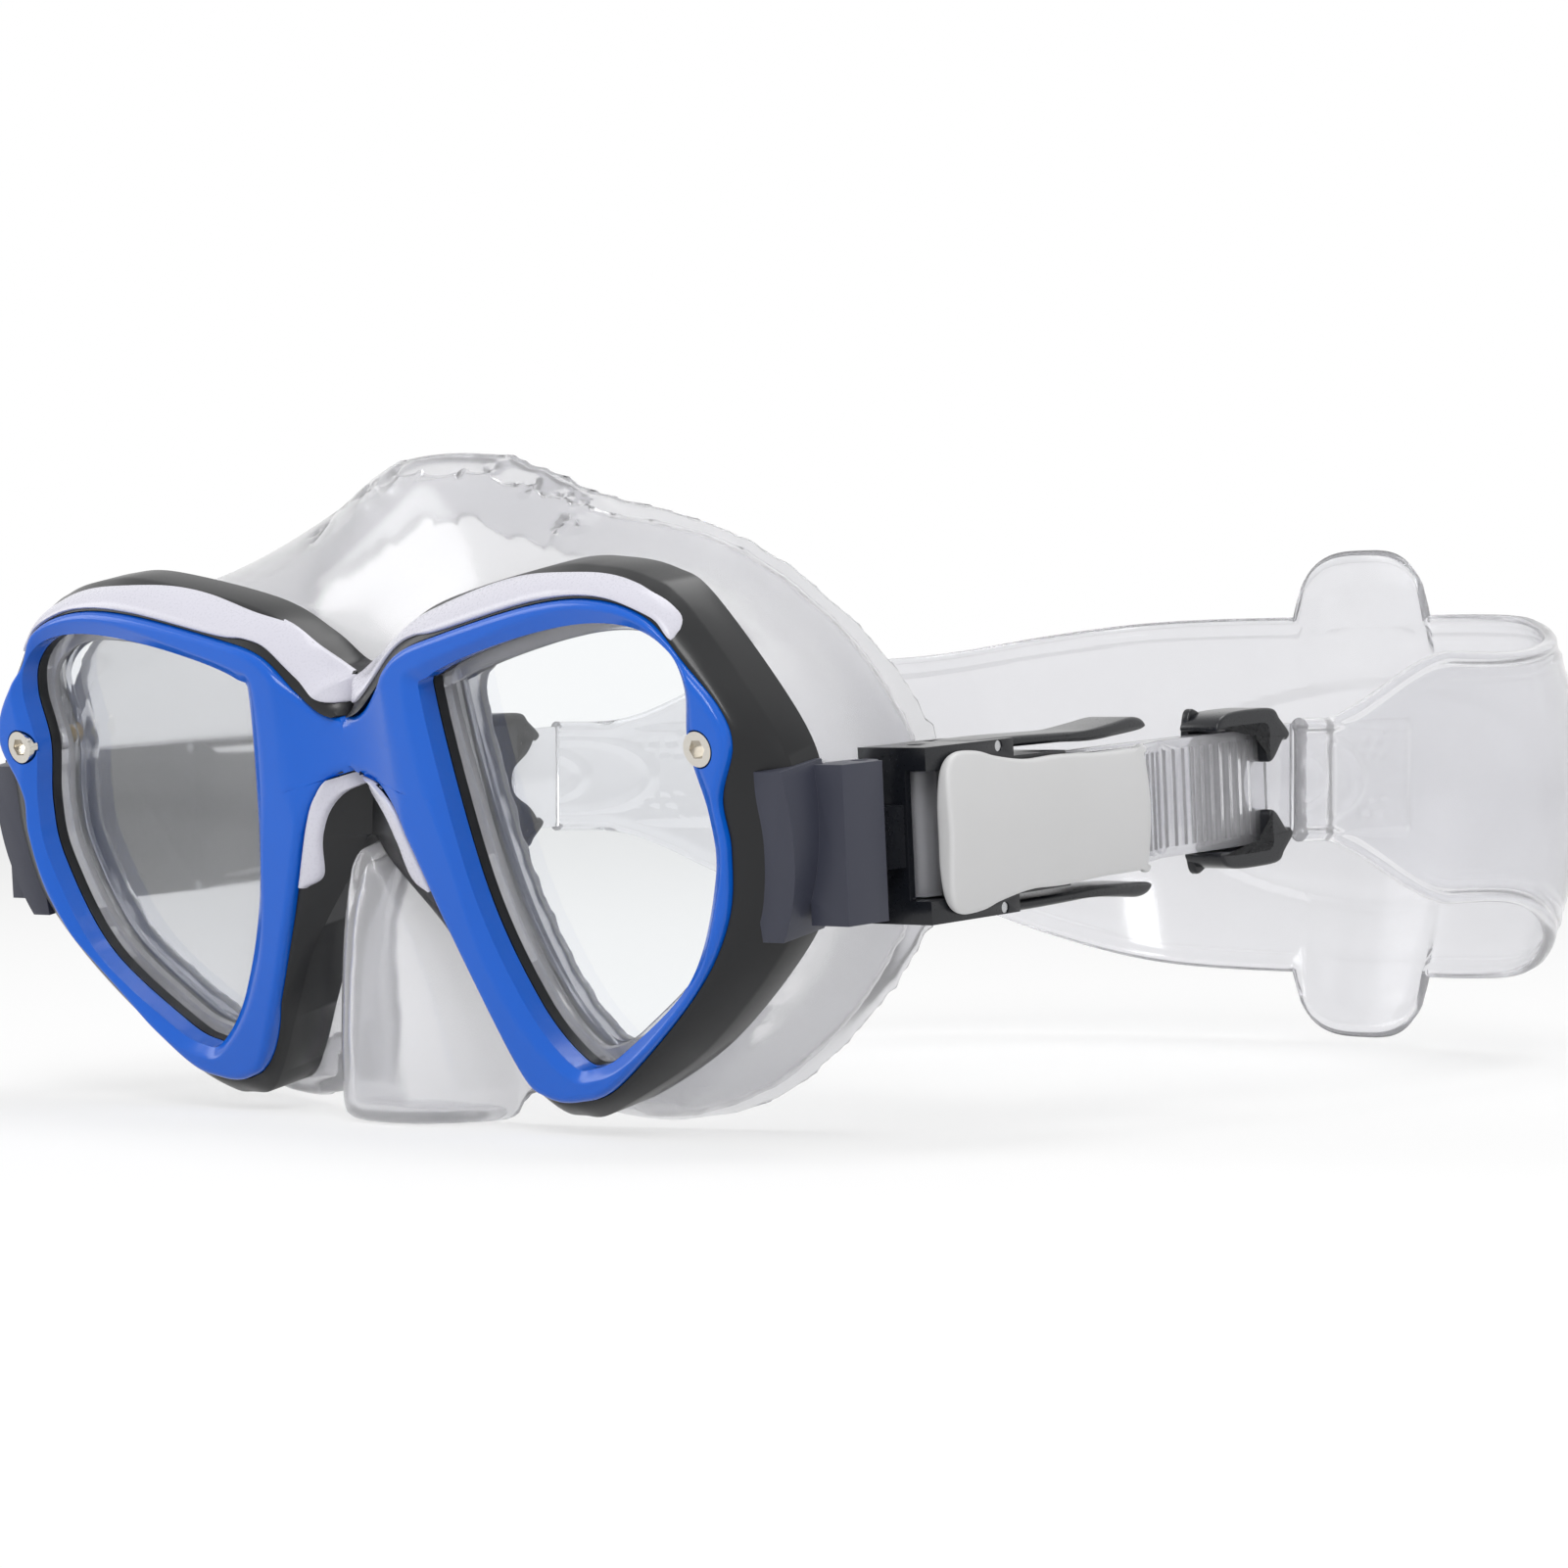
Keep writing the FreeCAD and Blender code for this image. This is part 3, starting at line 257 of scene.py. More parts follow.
def eyeAngles(count, *halves):
    # even directions round the eye, with the corners on the middle line added
    corners = [math.atan2(v - front["eyeCentre"][1], -front["eyeCentre"][0]) % (2 * math.pi) for half in halves
               for v in (half[0][1], half[-1][1])]
    return np.unique(np.concatenate([np.linspace(0, 2 * math.pi, count, endpoint=False), corners]))


def mirroredRing(name, across, depth, up, material, replaced, weld=0.00002):
    # both halves of a ring whose cross-section is closed, welded on the middle line
    across = np.where(np.abs(across) < 0.03, 0.0, across)
    points = frontPoint(across, depth, up)
    rows, columns = across.shape
    faces = [f for f in gridFaces(rows, columns, True, True)
             if not np.all(across.reshape(-1)[f] <= 0.0)]
    flipped = [[i + rows * columns for i in reversed(f)] for f in faces]
    both = np.vstack([points.reshape(-1, 3), points.reshape(-1, 3) * [-1, 1, 1]])
    thing = makeMesh(name, both, faces + flipped, material, "mask", replaced)
    tidyNormals(thing, weld)
    return thing

# Front of the mask

bezel = {"depth": 4.45, "innerBevel": 2.1, "innerDrop": 1.25, "outerRound": 1.1, "scoopRadius": 34.0, "scoopDepth": 2.2,
         "screwRecess": 2.85, "recessDepth": 1.9}
blackFrame = {"floor": 4.7, "edge": 1.6, "shoulder": 7.2, "noseShoulder": 4.4, "side": 13.2, "rear": 14.0,
              "seat": 2.2, "lip": 6.5, "gap": 0.15}


def aroundEye(angles, reach):
    # across and up of points at a distance from the middle of the eye
    return front["eyeCentre"][0] + reach * np.cos(angles), front["eyeCentre"][1] + reach * np.sin(angles)


def frameRadii(angles):
    return (reachAt(lensLoop, angles), reachAt(halfLoop(bezelHalf), angles), reachAt(halfLoop(frameHalf), angles))


def noseward(angles):
    # one on the side of the eye that faces the nose, nought elsewhere
    degrees = np.degrees(angles) % 360
    return eased((degrees - 165) / 20) * eased((292 - degrees) / 22)


def frameDepth(angles, share):
    # depth of the black frame's front, from the bezel's edge (share 0) out to its own edge (share 1)
    shoulder = blackFrame["shoulder"] + (blackFrame["noseShoulder"] - blackFrame["shoulder"]) * noseward(angles)
    return blackFrame["edge"] + (shoulder - blackFrame["edge"]) * share ** 1.7


def makeBezel(material):
    # from the lens opening out to the bezel's edge: a sloped inner rim, a rounded outer one and a hollow bridge
    angles = eyeAngles(300, bezelHalf)[:, None]
    lens, edge = reachAt(lensLoop, angles), reachAt(halfLoop(bezelHalf), angles)
    share = (0.5 - 0.5 * np.cos(np.linspace(0, math.pi, 22)))[None, :]
    across, up = aroundEye(angles, lens + (edge - lens) * share)
    spots = np.stack([across, up], -1)
    toLens, toEdge = distanceTo(spots, lensLoop), distanceTo(spots, bezelLoop)
    facet = bezel["innerBevel"] * (1 + 0.25 * np.sin(5 * angles + 0.6))
    slope = np.clip(1 - toLens / facet, 0, 1)
    turn = np.clip(1 - toEdge / bezel["outerRound"], 0, 1)
    depth = bezel["innerDrop"] * slope ** 1.15 + bezel["outerRound"] * (1 - np.sqrt(1 - turn ** 2))
    scoop = np.sqrt(bezel["scoopRadius"] ** 2 - np.clip(across, 0, 20) ** 2) - bezel["scoopRadius"] + bezel["scoopDepth"]
    depth = np.maximum(depth, 0) + np.clip(scoop, 0, None)
    back = np.full_like(angles, bezel["depth"])
    radii = np.hstack([lens + (edge - lens) * share, edge, lens])
    depth = np.hstack([depth, back, back])
    across, up = aroundEye(angles, radii)
    thing = mirroredRing("bezelShell", across, depth, up, material, ("front_bezel",))
    cutters = []
    for side in (-1, 1):
        bpy.ops.mesh.primitive_cylinder_add(vertices=64, radius=bezel["screwRecess"] * toMetres, depth=0.01)
        cutter = bpy.context.object
        tilt = math.radians(front["tilt"])
        middle = frontPoint(side * front["screwAt"], bezel["recessDepth"] - 5.0, 0.0) * toMetres
        cutter.data.transform(Matrix.Translation(Vector(middle)) @ Matrix.Rotation(math.radians(90) + tilt, 4, "X"))
        cutters.append(cutter)
        addModifier(thing, "BOOLEAN", object=cutter, operation="DIFFERENCE", solver="EXACT")
    bakeModifiers(thing)
    for cutter in cutters:
        bpy.data.objects.remove(cutter)
    smoothByAngle(thing, 35)
    return thing


def smoothByAngle(thing, degrees):
    # keeps edges sharper than this angle
    mesh = bmesh.new()
    mesh.from_mesh(thing.data)
    for edge in mesh.edges:
        edge.smooth = len(edge.link_faces) != 2 or edge.calc_face_angle(0) < math.radians(degrees)
    for face in mesh.faces:
        face.smooth = True
    mesh.to_mesh(thing.data)
    mesh.free()


def makeFrame(material):
    # cross-section: lip in front of the lens, floor under the bezel, swelling front, side wall, rear face, lens seat
    angles = eyeAngles(320, bezelHalf, frameHalf)[:, None]
    lens, blue, edge = frameRadii(angles)
    start = np.minimum(blue + blackFrame["gap"], edge)
    free = np.clip((edge - start) / 1.5, 0, 1)
    share = np.linspace(0, 1, 16)[None, :] ** 0.8
    swell = frameDepth(angles, share) * free + blackFrame["floor"] * (1 - free)
    one = np.ones_like(angles)
    side = blackFrame["side"] * one
    radii = np.hstack([lens, lens, blue - 0.8, start, start + (edge - start) * share, edge, edge - 0.8 * free,
                       lens + blackFrame["seat"], lens + blackFrame["seat"]])
    depth = np.hstack([blackFrame["lip"] * one, blackFrame["floor"] * one, blackFrame["floor"] * one,
                       blackFrame["floor"] * one, swell, side, blackFrame["rear"] * one,
                       blackFrame["rear"] * one, blackFrame["lip"] * one])
    across, up = aroundEye(angles, radii)
    across = np.maximum(across, 0)
    thing = mirroredRing("frameShell", across, depth, up, material, ("main_frame",))
    smoothByAngle(thing, 38)
    return thing


browLowHalf = [(0, 6.0), (4.6, 7.0), (8.8, 10.5), (14.4, 15.0), (19, 16.7), (25, 17.5), (45, 21.5), (58, 22.0),
               (67.6, 19.1), (71.2, 15.6)]


def sectorLoop(curve, middleEnd):
    # a curve from the middle line outward, closed along the middle line to another height
    dense = loopThrough(curve, 300, closed=False)
    middle = np.stack([np.zeros(30), np.linspace(middleEnd, curve[0][1], 30)], 1)
    return np.vstack([middle, dense])


def trimStrip(name, angles, low, high, proud, material, replaced):
    # a strip that stands proud of the black frame between two reaches, with rounded edges
    _, blue, edge = frameRadii(angles)
    share = (0.5 - 0.5 * np.cos(np.linspace(0, math.pi, 14)))[None, :]
    reach = low + (high - low) * share
    onFrame = frameDepth(angles, np.clip((reach - blue) / np.maximum(edge - blue, 0.5), 0, 1))
    width = np.maximum(high - low, 1e-3)
    toEdge = np.minimum(share, 1 - share) * width
    rise = proud * np.sqrt(1 - (1 - np.clip(toEdge / 1.2, 0, 1)) ** 2)
    depth = np.hstack([onFrame + 0.3 - rise - 0.3 * np.clip(toEdge / 0.3, 0, 1), onFrame[:, -1:] + 0.6, onFrame[:, :1] + 0.6])
    across, up = aroundEye(angles, np.hstack([reach, high, low]))
    across = np.maximum(across, 0)
    points = frontPoint(across, depth, up)
    rows, columns = across.shape
    faces = gridFaces(rows, columns, False, True)
    tip = list(range(columns)) if width[0, 0] > width[-1, 0] else list(range((rows - 1) * columns, rows * columns))
    faces.append(tip)
    faces = [f for f in faces if not np.all(across.reshape(-1)[f] <= 0.02)]
    flipped = [[i + rows * columns for i in reversed(f)] for f in faces]
    both = np.vstack([points.reshape(-1, 3), points.reshape(-1, 3) * [-1, 1, 1]])
    thing = makeMesh(name, both, faces + flipped, material, "mask", replaced)
    tidyNormals(thing)
    smoothByAngle(thing, 50)
    return thing


def makeBrowTrim(material):
    tip, middle = math.atan2(29.4, 25.4), math.atan2(20.0, -46)
    angles = np.unique(np.concatenate([np.linspace(tip, middle, 150), [math.atan2(24.0, -46)]]))[:, None]
    low = reachAt(sectorLoop(browLowHalf, 6.0), angles)
    high = reachAt(sectorLoop(browTopHalf, 6.0), angles)
    return trimStrip("browTrimBand", angles, low, np.maximum(high, low + 0.05), 1.0, material, ("brow_trim",))


def makeNoseTrim(material):
    middle, tip = math.atan2(9.6, -46), math.atan2(-8.6, -32.4) % (2 * math.pi)
    angles = np.unique(np.concatenate([np.linspace(middle, tip, 90), [math.atan2(7.5, -46)]]))[:, None]
    low = reachAt(halfLoop(bezelHalf), angles) + 0.2
    high = reachAt(sectorLoop(archInnerHalf, -4.3), angles)
    return trimStrip("noseTrimArch", angles, low, np.maximum(high, low + 0.05), 0.9, material, ("nose_trim",))


# Silicone skirt: a field of signed distances in millimetres, negative inside the rubber, turned into a surface
skirt = {"wall": 1.9, "plateFront": 14.1, "faceStart": 25.5, "faceRadius": 84.0, "seal": 9.0, "sealThickness": 1.7,
         "step": 1.15, "fillet": 3.0, "gasketOut": 2.1, "gasketIn": 2.3, "gasketFront": 6.6, "glassFront": 7.5,
         "glassRear": 11.05, "gasketRear": 15.0}
# across and height at the frame, across, height and reach at the face, how late the step between them comes
skirtHalf = np.array([
    (0, 11.5, 0, 47.0, 25.5, 0.55), (12, 16.5, 14, 46.6, 29, 0.55), (30, 23.5, 32, 40, 37, 0.7),
    (50, 25.2, 48, 33, 43.5, 0.9), (65, 21, 60, 21.5, 51, 1), (76, 10.5, 67, 9, 58, 1), (82, -2, 70.5, -5, 61, 1),
    (82, -16, 70, -20, 60, 1), (78, -27, 67.5, -31, 58, 1), (68, -38.5, 62, -42.5, 57, 1), (51, -50, 53, -54, 54, 1),
    (36, -54, 42, -57.9, 50, 1), (20, -50, 24, -57.0, 42, 1), (0, -46, 0, -54, 34, 1)])
noseLevels = np.array([(-12, 1.8, 5.5), (-18, 3.2, 4.4), (-26, 7.4, 5.2), (-35, 10.4, 6), (-46, 12.2, 6.6), (-64, 13.0, 8.0)])


def insetLoop(loop, distance):
    # moves a loop inward along its normals
    way = np.roll(loop, -1, 0) - np.roll(loop, 1, 0)
    way /= np.linalg.norm(way, axis=1, keepdims=True)
    area = (loop[:, 0] * np.roll(loop[:, 1], -1) - np.roll(loop[:, 0], -1) * loop[:, 1]).sum()
    outward = np.stack([way[:, 1], -way[:, 0]], 1) * np.sign(area)
    return loop - outward * distance


def signedDistance(points, loop):
    # distance to a loop, negative inside it
    return np.where(inside(points, loop), -1.0, 1.0) * distanceTo(points, loop)


def planeDistance(across, up, loop, gap=0.75):
    # signed distances on a fine table, then read between its entries
    a = np.arange(across.min() - gap, across.max() + 2 * gap, gap)
    b = np.arange(up.min() - gap, up.max() + 2 * gap, gap)
    table = signedDistance(np.stack(np.meshgrid(a, b, indexing="ij"), -1), loop)
    s, t = (across - a[0]) / gap, (up - b[0]) / gap
    i, j = s.astype(int), t.astype(int)
    s, t = s - i, t - j
    return (table[i, j] * (1 - s) * (1 - t) + table[i + 1, j] * s * (1 - t) + table[i, j + 1] * (1 - s) * t
            + table[i + 1, j + 1] * s * t)


def skirtLoop(reach):
    # each point of the outline slides from its place at the frame to its place at the face
    share = eased((reach - 9.0) / (skirtHalf[:, 4] - 9.0)) ** skirtHalf[:, 5]
    share = share[:, None]
    return loopThrough(mirrored(skirtHalf[:, :2] + (skirtHalf[:, 2:4] - skirtHalf[:, :2]) * share), 130)


def noseLoop(height):
    # a rounded front, sides that spread downward, open toward the face
    w, tip = (np.interp(-height, -noseLevels[:, 0], noseLevels[:, k]) for k in (1, 2))
    loop = [(0, tip), (0.62 * w, tip + 0.12 * w), (w, tip + 0.75 * w), (1.15 * w + 1, 30), (0.8 * w, 36)]
    return loopThrough(mirrored(loop), 90)


def blendedLeast(a, b, fillet):
    # the lesser of two fields, with a rounded corner between them
    share = np.clip(0.5 + 0.5 * (b - a) / fillet, 0, 1)
    return b + (a - b) * share - fillet * share * (1 - share)


def trueDistance(field, step):
    # a field made of flat slices grows too fast where the form slopes: its own steepness sets that right
    steepness = np.sqrt(sum(g * g for g in np.gradient(field, step)))
    return field / np.maximum(steepness, 1.0)


def skirtField(across, reach, height):
    # body and nose pocket joined, hollowed by the wall, cut by the head, with a lip on the face and two windows
    x, y, z = np.meshgrid(across, reach, height, indexing="ij")
    slab = np.stack(np.meshgrid(across, height, indexing="ij"), -1)
    body = np.stack([signedDistance(slab, skirtLoop(r)) for r in reach], 1)
    slab = np.stack(np.meshgrid(across, reach, indexing="ij"), -1)
    nose = np.stack([signedDistance(slab, noseLoop(h)) for h in height], 2)
    step = skirt["step"]
    body, nose = trueDistance(body, step), np.maximum(trueDistance(nose, step), z + 12.0)
    tilt = math.radians(front["tilt"])
    depth, up = y * math.cos(tilt) + z * math.sin(tilt), z * math.cos(tilt) - y * math.sin(tilt)
    behind = skirt["plateFront"] - depth
    underFrame = np.maximum(depth - skirt["plateFront"], planeDistance(x, up, frameLoop[::4]) - 0.3)
    nose = np.maximum(nose, -underFrame)
    head = np.hypot(x, y - skirt["faceStart"] - skirt["faceRadius"]) - skirt["faceRadius"]
    form = blendedLeast(np.maximum(body, behind), nose, skirt["fillet"])
    form = np.maximum(form, -front["height"] + 0.05 - z)
    shell = np.maximum(np.maximum(form, -(form + skirt["wall"])), -head)
    lip = np.maximum.reduce([form, -head, head - skirt["sealThickness"], -(body + skirt["wall"] + skirt["seal"]),
                             -(nose + skirt["wall"])])
    glass = planeDistance(x, up, lensLoop[::3])
    hole = np.maximum.reduce([glass + skirt["gasketIn"], 3.0 - depth, depth - 18.0])
    return np.maximum(np.minimum(shell, lip), -hole)


def surfaceOf(field, origin, step):
    # one point in each cell that the surface crosses, at the mean of its edge crossings, and a quad round each crossed edge
    sign = field < 0
    corners = [(i, j, k) for i in (0, 1) for j in (0, 1) for k in (0, 1)]
    shape = np.array(field.shape) - 1
    view = lambda grid, c: grid[c[0]:c[0] + shape[0], c[1]:c[1] + shape[1], c[2]:c[2] + shape[2]]
    total = np.zeros(tuple(shape) + (3,))
    count = np.zeros(tuple(shape))
    for a in corners:
        for axis in range(3):
            if a[axis]:
                continue
            b = tuple(1 if k == axis else a[k] for k in range(3))
            fa, fb = view(field, a), view(field, b)
            crossed = view(sign, a) != view(sign, b)
            t = np.where(crossed, fa / np.where(fa == fb, 1.0, fa - fb), 0.0)
            spot = np.zeros(tuple(shape) + (3,)) + np.array(a)
            spot[..., axis] += t
            total += spot * crossed[..., None]
            count += crossed
    active = count > 0
    index = np.full(tuple(shape), -1)
    index[active] = np.arange(active.sum())
    cells = np.argwhere(active)
    points = origin + (cells + total[active] / count[active][:, None]) * step
    faces = []
    for axis in range(3):
        ahead = [slice(None)] * 3
        here = [slice(None)] * 3
        ahead[axis], here[axis] = slice(1, None), slice(None, -1)
        crossed = sign[tuple(here)] != sign[tuple(ahead)]
        edges = np.argwhere(crossed)
        one, two = (axis + 1) % 3, (axis + 2) % 3
        edges = edges[(edges[:, one] > 0) & (edges[:, two] > 0) & (edges[:, one] < shape[one]) & (edges[:, two] < shape[two])]
        ring = []
        for stepOne, stepTwo in ((-1, -1), (0, -1), (0, 0), (-1, 0)):
            cell = edges.copy()
            cell[:, one] += stepOne
            cell[:, two] += stepTwo
            ring.append(index[cell[:, 0], cell[:, 1], cell[:, 2]])
        quads = np.stack(ring, 1)
        outward = sign[edges[:, 0], edges[:, 1], edges[:, 2]]
        faces.append(np.where(outward[:, None], quads, quads[:, ::-1]))
    return points, np.concatenate(faces).tolist()


def gasketRing(side):
    # silicone channel round the glass: a thin lip before it, a seat behind it
    angles = np.linspace(0, 2 * math.pi, 260, endpoint=False)[:, None]
    lens = reachAt(lensLoop, angles)
    out, slot, into = lens + skirt["gasketOut"], lens + 1.05, lens - skirt["gasketIn"]
    front3, glass, rear, back = (skirt[k] for k in ("gasketFront", "glassFront", "glassRear", "gasketRear"))
    radii = [out, into + 0.3, into, into, slot, slot, into + 0.6, into, out]
    depths = [front3, front3, front3 + 0.3, glass - 0.05, glass - 0.05, rear, rear, rear + 0.6, back]
    radii = np.hstack([r + 0 * angles for r in radii])
    across, up = aroundEye(angles, radii)
    points = frontPoint(across * side, np.array(depths)[None, :] + 0 * across, up)
    return points.reshape(-1, 3), gridFaces(len(angles), len(depths), True, True)


def makeSkirt(material):
    step = skirt["step"]
    half = (np.arange(76) + 0.5) * step
    reach = np.arange(2.0, 66.0, step)
    height = np.arange(-front["height"] - 2.3, 51.0, step)
    quarter = skirtField(half, reach, height)
    field = np.concatenate([quarter[::-1], quarter])
    origin = np.array([-half[-1], reach[0] - front["setback"], height[0] + front["height"]])
    points, faces = surfaceOf(field, origin, step)
    thing = makeMesh("skirtShell", points, faces, material, "mask", ("skirt",))
    addModifier(thing, "SMOOTH", factor=0.5, iterations=24)
    bakeModifiers(thing)
    for side, name in ((1, "left"), (-1, "right")):
        ringPoints, ringFaces = gasketRing(side)
        ring = makeMesh("glassGasket_" + name, ringPoints, ringFaces, material, "mask", ("skirt",))
        tidyNormals(ring)
        smoothByAngle(ring, 40)
    return thing


# Buckles, drawn for the wearer's left: x outward, y back from the hinge pin, z up
hinge = {"offset": 88.0, "setback": 3.0, "height": 44.7, "pitch": 4.0, "toeIn": 1.5}
cover = {"start": 8.5, "end": 57.0, "front": 11.7, "rear": 9.2, "seat": 6.65, "thick": 1.5, "crown": 1.5, "edge": 0.75}
lever = {"low": -4.0, "high": 4.9, "edge": 0.8}
keeper = {"low": -5.9, "high": 1.6, "edge": 0.55, "web": -4.45}


def buckleSpot(side, points):
    # turns in by a little at the rear, rises to the rear, then moves to the hinge
    rise, turn = math.radians(hinge["pitch"]), math.radians(side * hinge["toeIn"])
    tilt = np.array([[1, 0, 0], [0, math.cos(rise), -math.sin(rise)], [0, math.sin(rise), math.cos(rise)]])
    swing = np.array([[math.cos(turn), -math.sin(turn), 0], [math.sin(turn), math.cos(turn), 0], [0, 0, 1]])
    local = np.asarray(points, float) * [side, 1, 1]
    return local @ (swing @ tilt).T + [side * hinge["offset"], hinge["setback"], hinge["height"]]


def softPlate(outline, low, high, edge, count=160, crown=None):
    # a plate with rounded rims: rings that step in round a quarter circle, then shrink to the middle of each face
    loop = loopThrough(outline, count)
    turn = np.radians(np.array([0, 18, 36, 54, 72, 90]))
    centre = (loop.max(0) + loop.min(0)) / 2
    rings, heights, lift = [], [], []
    for angle in turn[::-1]:
        rings.append(insetLoop(loop, edge * (1 - math.cos(angle))))
        heights.append(high - edge * (1 - math.sin(angle)))
        lift.append(1.0)
    for angle in turn:
        rings.append(insetLoop(loop, edge * (1 - math.cos(angle))))
        heights.append(low + edge * (1 - math.sin(angle)))
        lift.append(0.0)
    for share in (0.86, 0.68, 0.48, 0.28, 0.1):
        rings.insert(0, centre + (insetLoop(loop, edge) - centre) * share)
        heights.insert(0, high)
        lift.insert(0, 1.0)
    rings = np.array(rings)
    across = np.array(heights)[:, None] + np.zeros(count)[None, :]
    if crown is not None:
        across = across + crown(rings) * np.array(lift)[:, None]
    points = np.stack([across, rings[..., 0], rings[..., 1]], -1)
    faces = gridFaces(len(rings), count, False, True)
    faces += [list(range(count)), list(range((len(rings) - 1) * count, len(rings) * count))]
    return points.reshape(-1, 3), faces


def joinPieces(pieces):
    # several closed forms in one mesh
    points, faces, start = [], [], 0
    for piecePoints, pieceFaces in pieces:
        points.append(piecePoints)
        faces += [[i + start for i in face] for face in pieceFaces]
        start += len(piecePoints)
    return np.vstack(points), faces


def buckleMesh(name, side, pieces, material, body, replaced, angle=40):
    points, faces = joinPieces(pieces)
    thing = makeMesh(name, buckleSpot(side, points), faces, material, body, replaced)
    tidyNormals(thing)
    smoothByAngle(thing, angle)
    return thing


def makeCover(side, name, material):
    # a rounded shield, crowned across its height
    front, rear = cover["front"], cover["rear"]
    start, end = cover["start"], cover["end"]
    upper = [(start, 0), (start + 0.1, 5.5), (start + 1.2, front - 1.9), (start + 4.0, front), (start + 9, front - 0.1),
             (start + 13, front - 1.1), (start + 20, front - 2.1), (start + 28, rear + 0.5), (start + 38, rear + 0.1),
             (end - 0.9, rear), (end, rear - 0.9)]
    lower = [(y, -z) for y, z in reversed(upper[1:])]
    crown = lambda rings: -cover["crown"] * (rings[..., 1] / front) ** 2
    plate = softPlate(upper + lower, cover["seat"], cover["seat"] + cover["thick"] + cover["crown"], cover["edge"],
                      220, crown)
    return buckleMesh("buckleCover_" + name, side, [plate], material, "buckle_" + name,
                      ("buckle_cover_" + name,))


def makeLevers(side, name, material):
    # finger wings above and below the cover: slim at the pin, swelling to a rounded grip
    outline = [(20.4, 11.4), (20.2, 12.0), (21.6, 12.8), (30, 12.9), (40, 12.7), (47, 12.6), (54, 13.2), (59, 13.7),
               (61.6, 13.4), (62.8, 12.6), (62.2, 11.7), (55, 11.2), (48, 10.9), (40, 11.2), (30, 11.3)]
    for place, flip in (("upper", 1), ("lower", -1)):
        shape = [(y, z * flip) for y, z in outline]
        crown = lambda rings: 1.1 * np.sin(np.clip((rings[..., 0] - 22) / 41, 0, 1) * math.pi)
        plate = softPlate(shape, lever["low"], lever["high"], lever["edge"], 180, crown)
        buckleMesh("squeezeLever_%s_%s" % (place, name), side, [plate], material, "lever_%s_%s" % (place, name),
                   ("lever_%s_%s" % (place, name),))


def makeKeeper(side, name, material):
    # two hooks over the strap's edges, joined behind it, with a fishtail between them
    hook = [(86.2, 9.6), (87.0, 11.4), (90, 12.3), (96, 12.5), (101.6, 12.2), (103.4, 10.6), (105.9, 8.2),
            (105.2, 7.0), (104.0, 6.9), (101.4, 4.2), (99.8, 4.0), (99.6, 6.6), (99.4, 9.3), (96, 9.6), (90, 9.6)]
    web = [(86.6, -11.2), (86.6, 11.2), (92, 11.8), (101, 11.6), (104.4, 8.4), (103, 5.2), (99.0, 2.0), (99.0, -2.0),
           (103, -5.2), (104.4, -8.4), (101, -11.6), (92, -11.8)]
    pieces = [softPlate(hook, keeper["low"], keeper["high"], keeper["edge"], 150),
              softPlate([(y, -z) for y, z in hook], keeper["low"], keeper["high"], keeper["edge"], 150),
              softPlate(web, keeper["low"], keeper["web"], 0.4, 150)]
    return buckleMesh("strapKeeper_" + name, side, pieces, material, "keeper_" + name,
                      ("strap_keeper_" + name,))


def softenedCopy(name, node, body, material, width, angle=32):
    # a CAD piece with its sharp edges rounded: merged, its flat faces joined, then bevelled
    mesh = bmesh.new()
    mesh.from_mesh(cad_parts[node].data)
    bmesh.ops.remove_doubles(mesh, verts=mesh.verts, dist=0.00002)
    bmesh.ops.dissolve_limit(mesh, angle_limit=math.radians(1.5), verts=mesh.verts, edges=mesh.edges)
    data = bpy.data.meshes.new(name)
    mesh.to_mesh(data)
    mesh.free()
    data.materials.clear()
    data.materials.append(material)
    thing = bpy.data.objects.new(name, data)
    scene.collection.objects.link(thing)
    addModifier(thing, "BEVEL", width=width * toMetres, segments=3, limit_method="ANGLE",
                angle_limit=math.radians(angle), harden_normals=False)
    bakeModifiers(thing)
    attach(thing, body)
    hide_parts(node)
    smoothByAngle(thing, 40)
    return thing


# Head strap: a thin silicone band whose height follows the head round
strap = {"cup": 6.0, "thick": 1.5, "half": 10.0, "padFront": 142.0, "flare": 45.0, "wing": 21.5, "crown": 34.5, "middle": 48.0,
         "reach": 273.0, "bead": 0.9, "tabHalf": 16.0, "tabTop": 95.2, "tabBottom": 1.4}
strapPlan = [(83.0, 133.5), (81.9, 142.0), (79.6, 151.0), (76, 190), (70.5, 226), (60, 247), (38, 265), (0, 273)]


def strapMiddle():
    return hinge["height"] + 112.0 * math.sin(math.radians(hinge["pitch"]))


def bandHeights(back):
    # top and bottom of the band, by the distance behind the front plane: arm, then wings, then the full pad
    arm = strapMiddle()
    wing = eased((back - strap["padFront"]) / strap["flare"]) * (strap["wing"] - strap["half"])
    share = eased((back - strap["padFront"] - strap["flare"]) / (strap["reach"] - strap["padFront"] - strap["flare"])) ** 2
    half = strap["half"] + wing
    return ((arm + half) * (1 - share) + (strap["middle"] + strap["crown"]) * share,
            (arm - half) * (1 - share) + (strap["middle"] - strap["crown"]) * share)


def strapPath(count):
    # the band's middle seen from above, from the left arm round the back to the right arm, evenly spaced
    half = np.array(strapPlan)
    return loopThrough(np.vstack([half, half[-2::-1] * [-1, 1]]), count, closed=False)


def ridge(distance, width, height):
    # a low rounded line on the surface
    return height * np.exp(-(distance / width) ** 2)


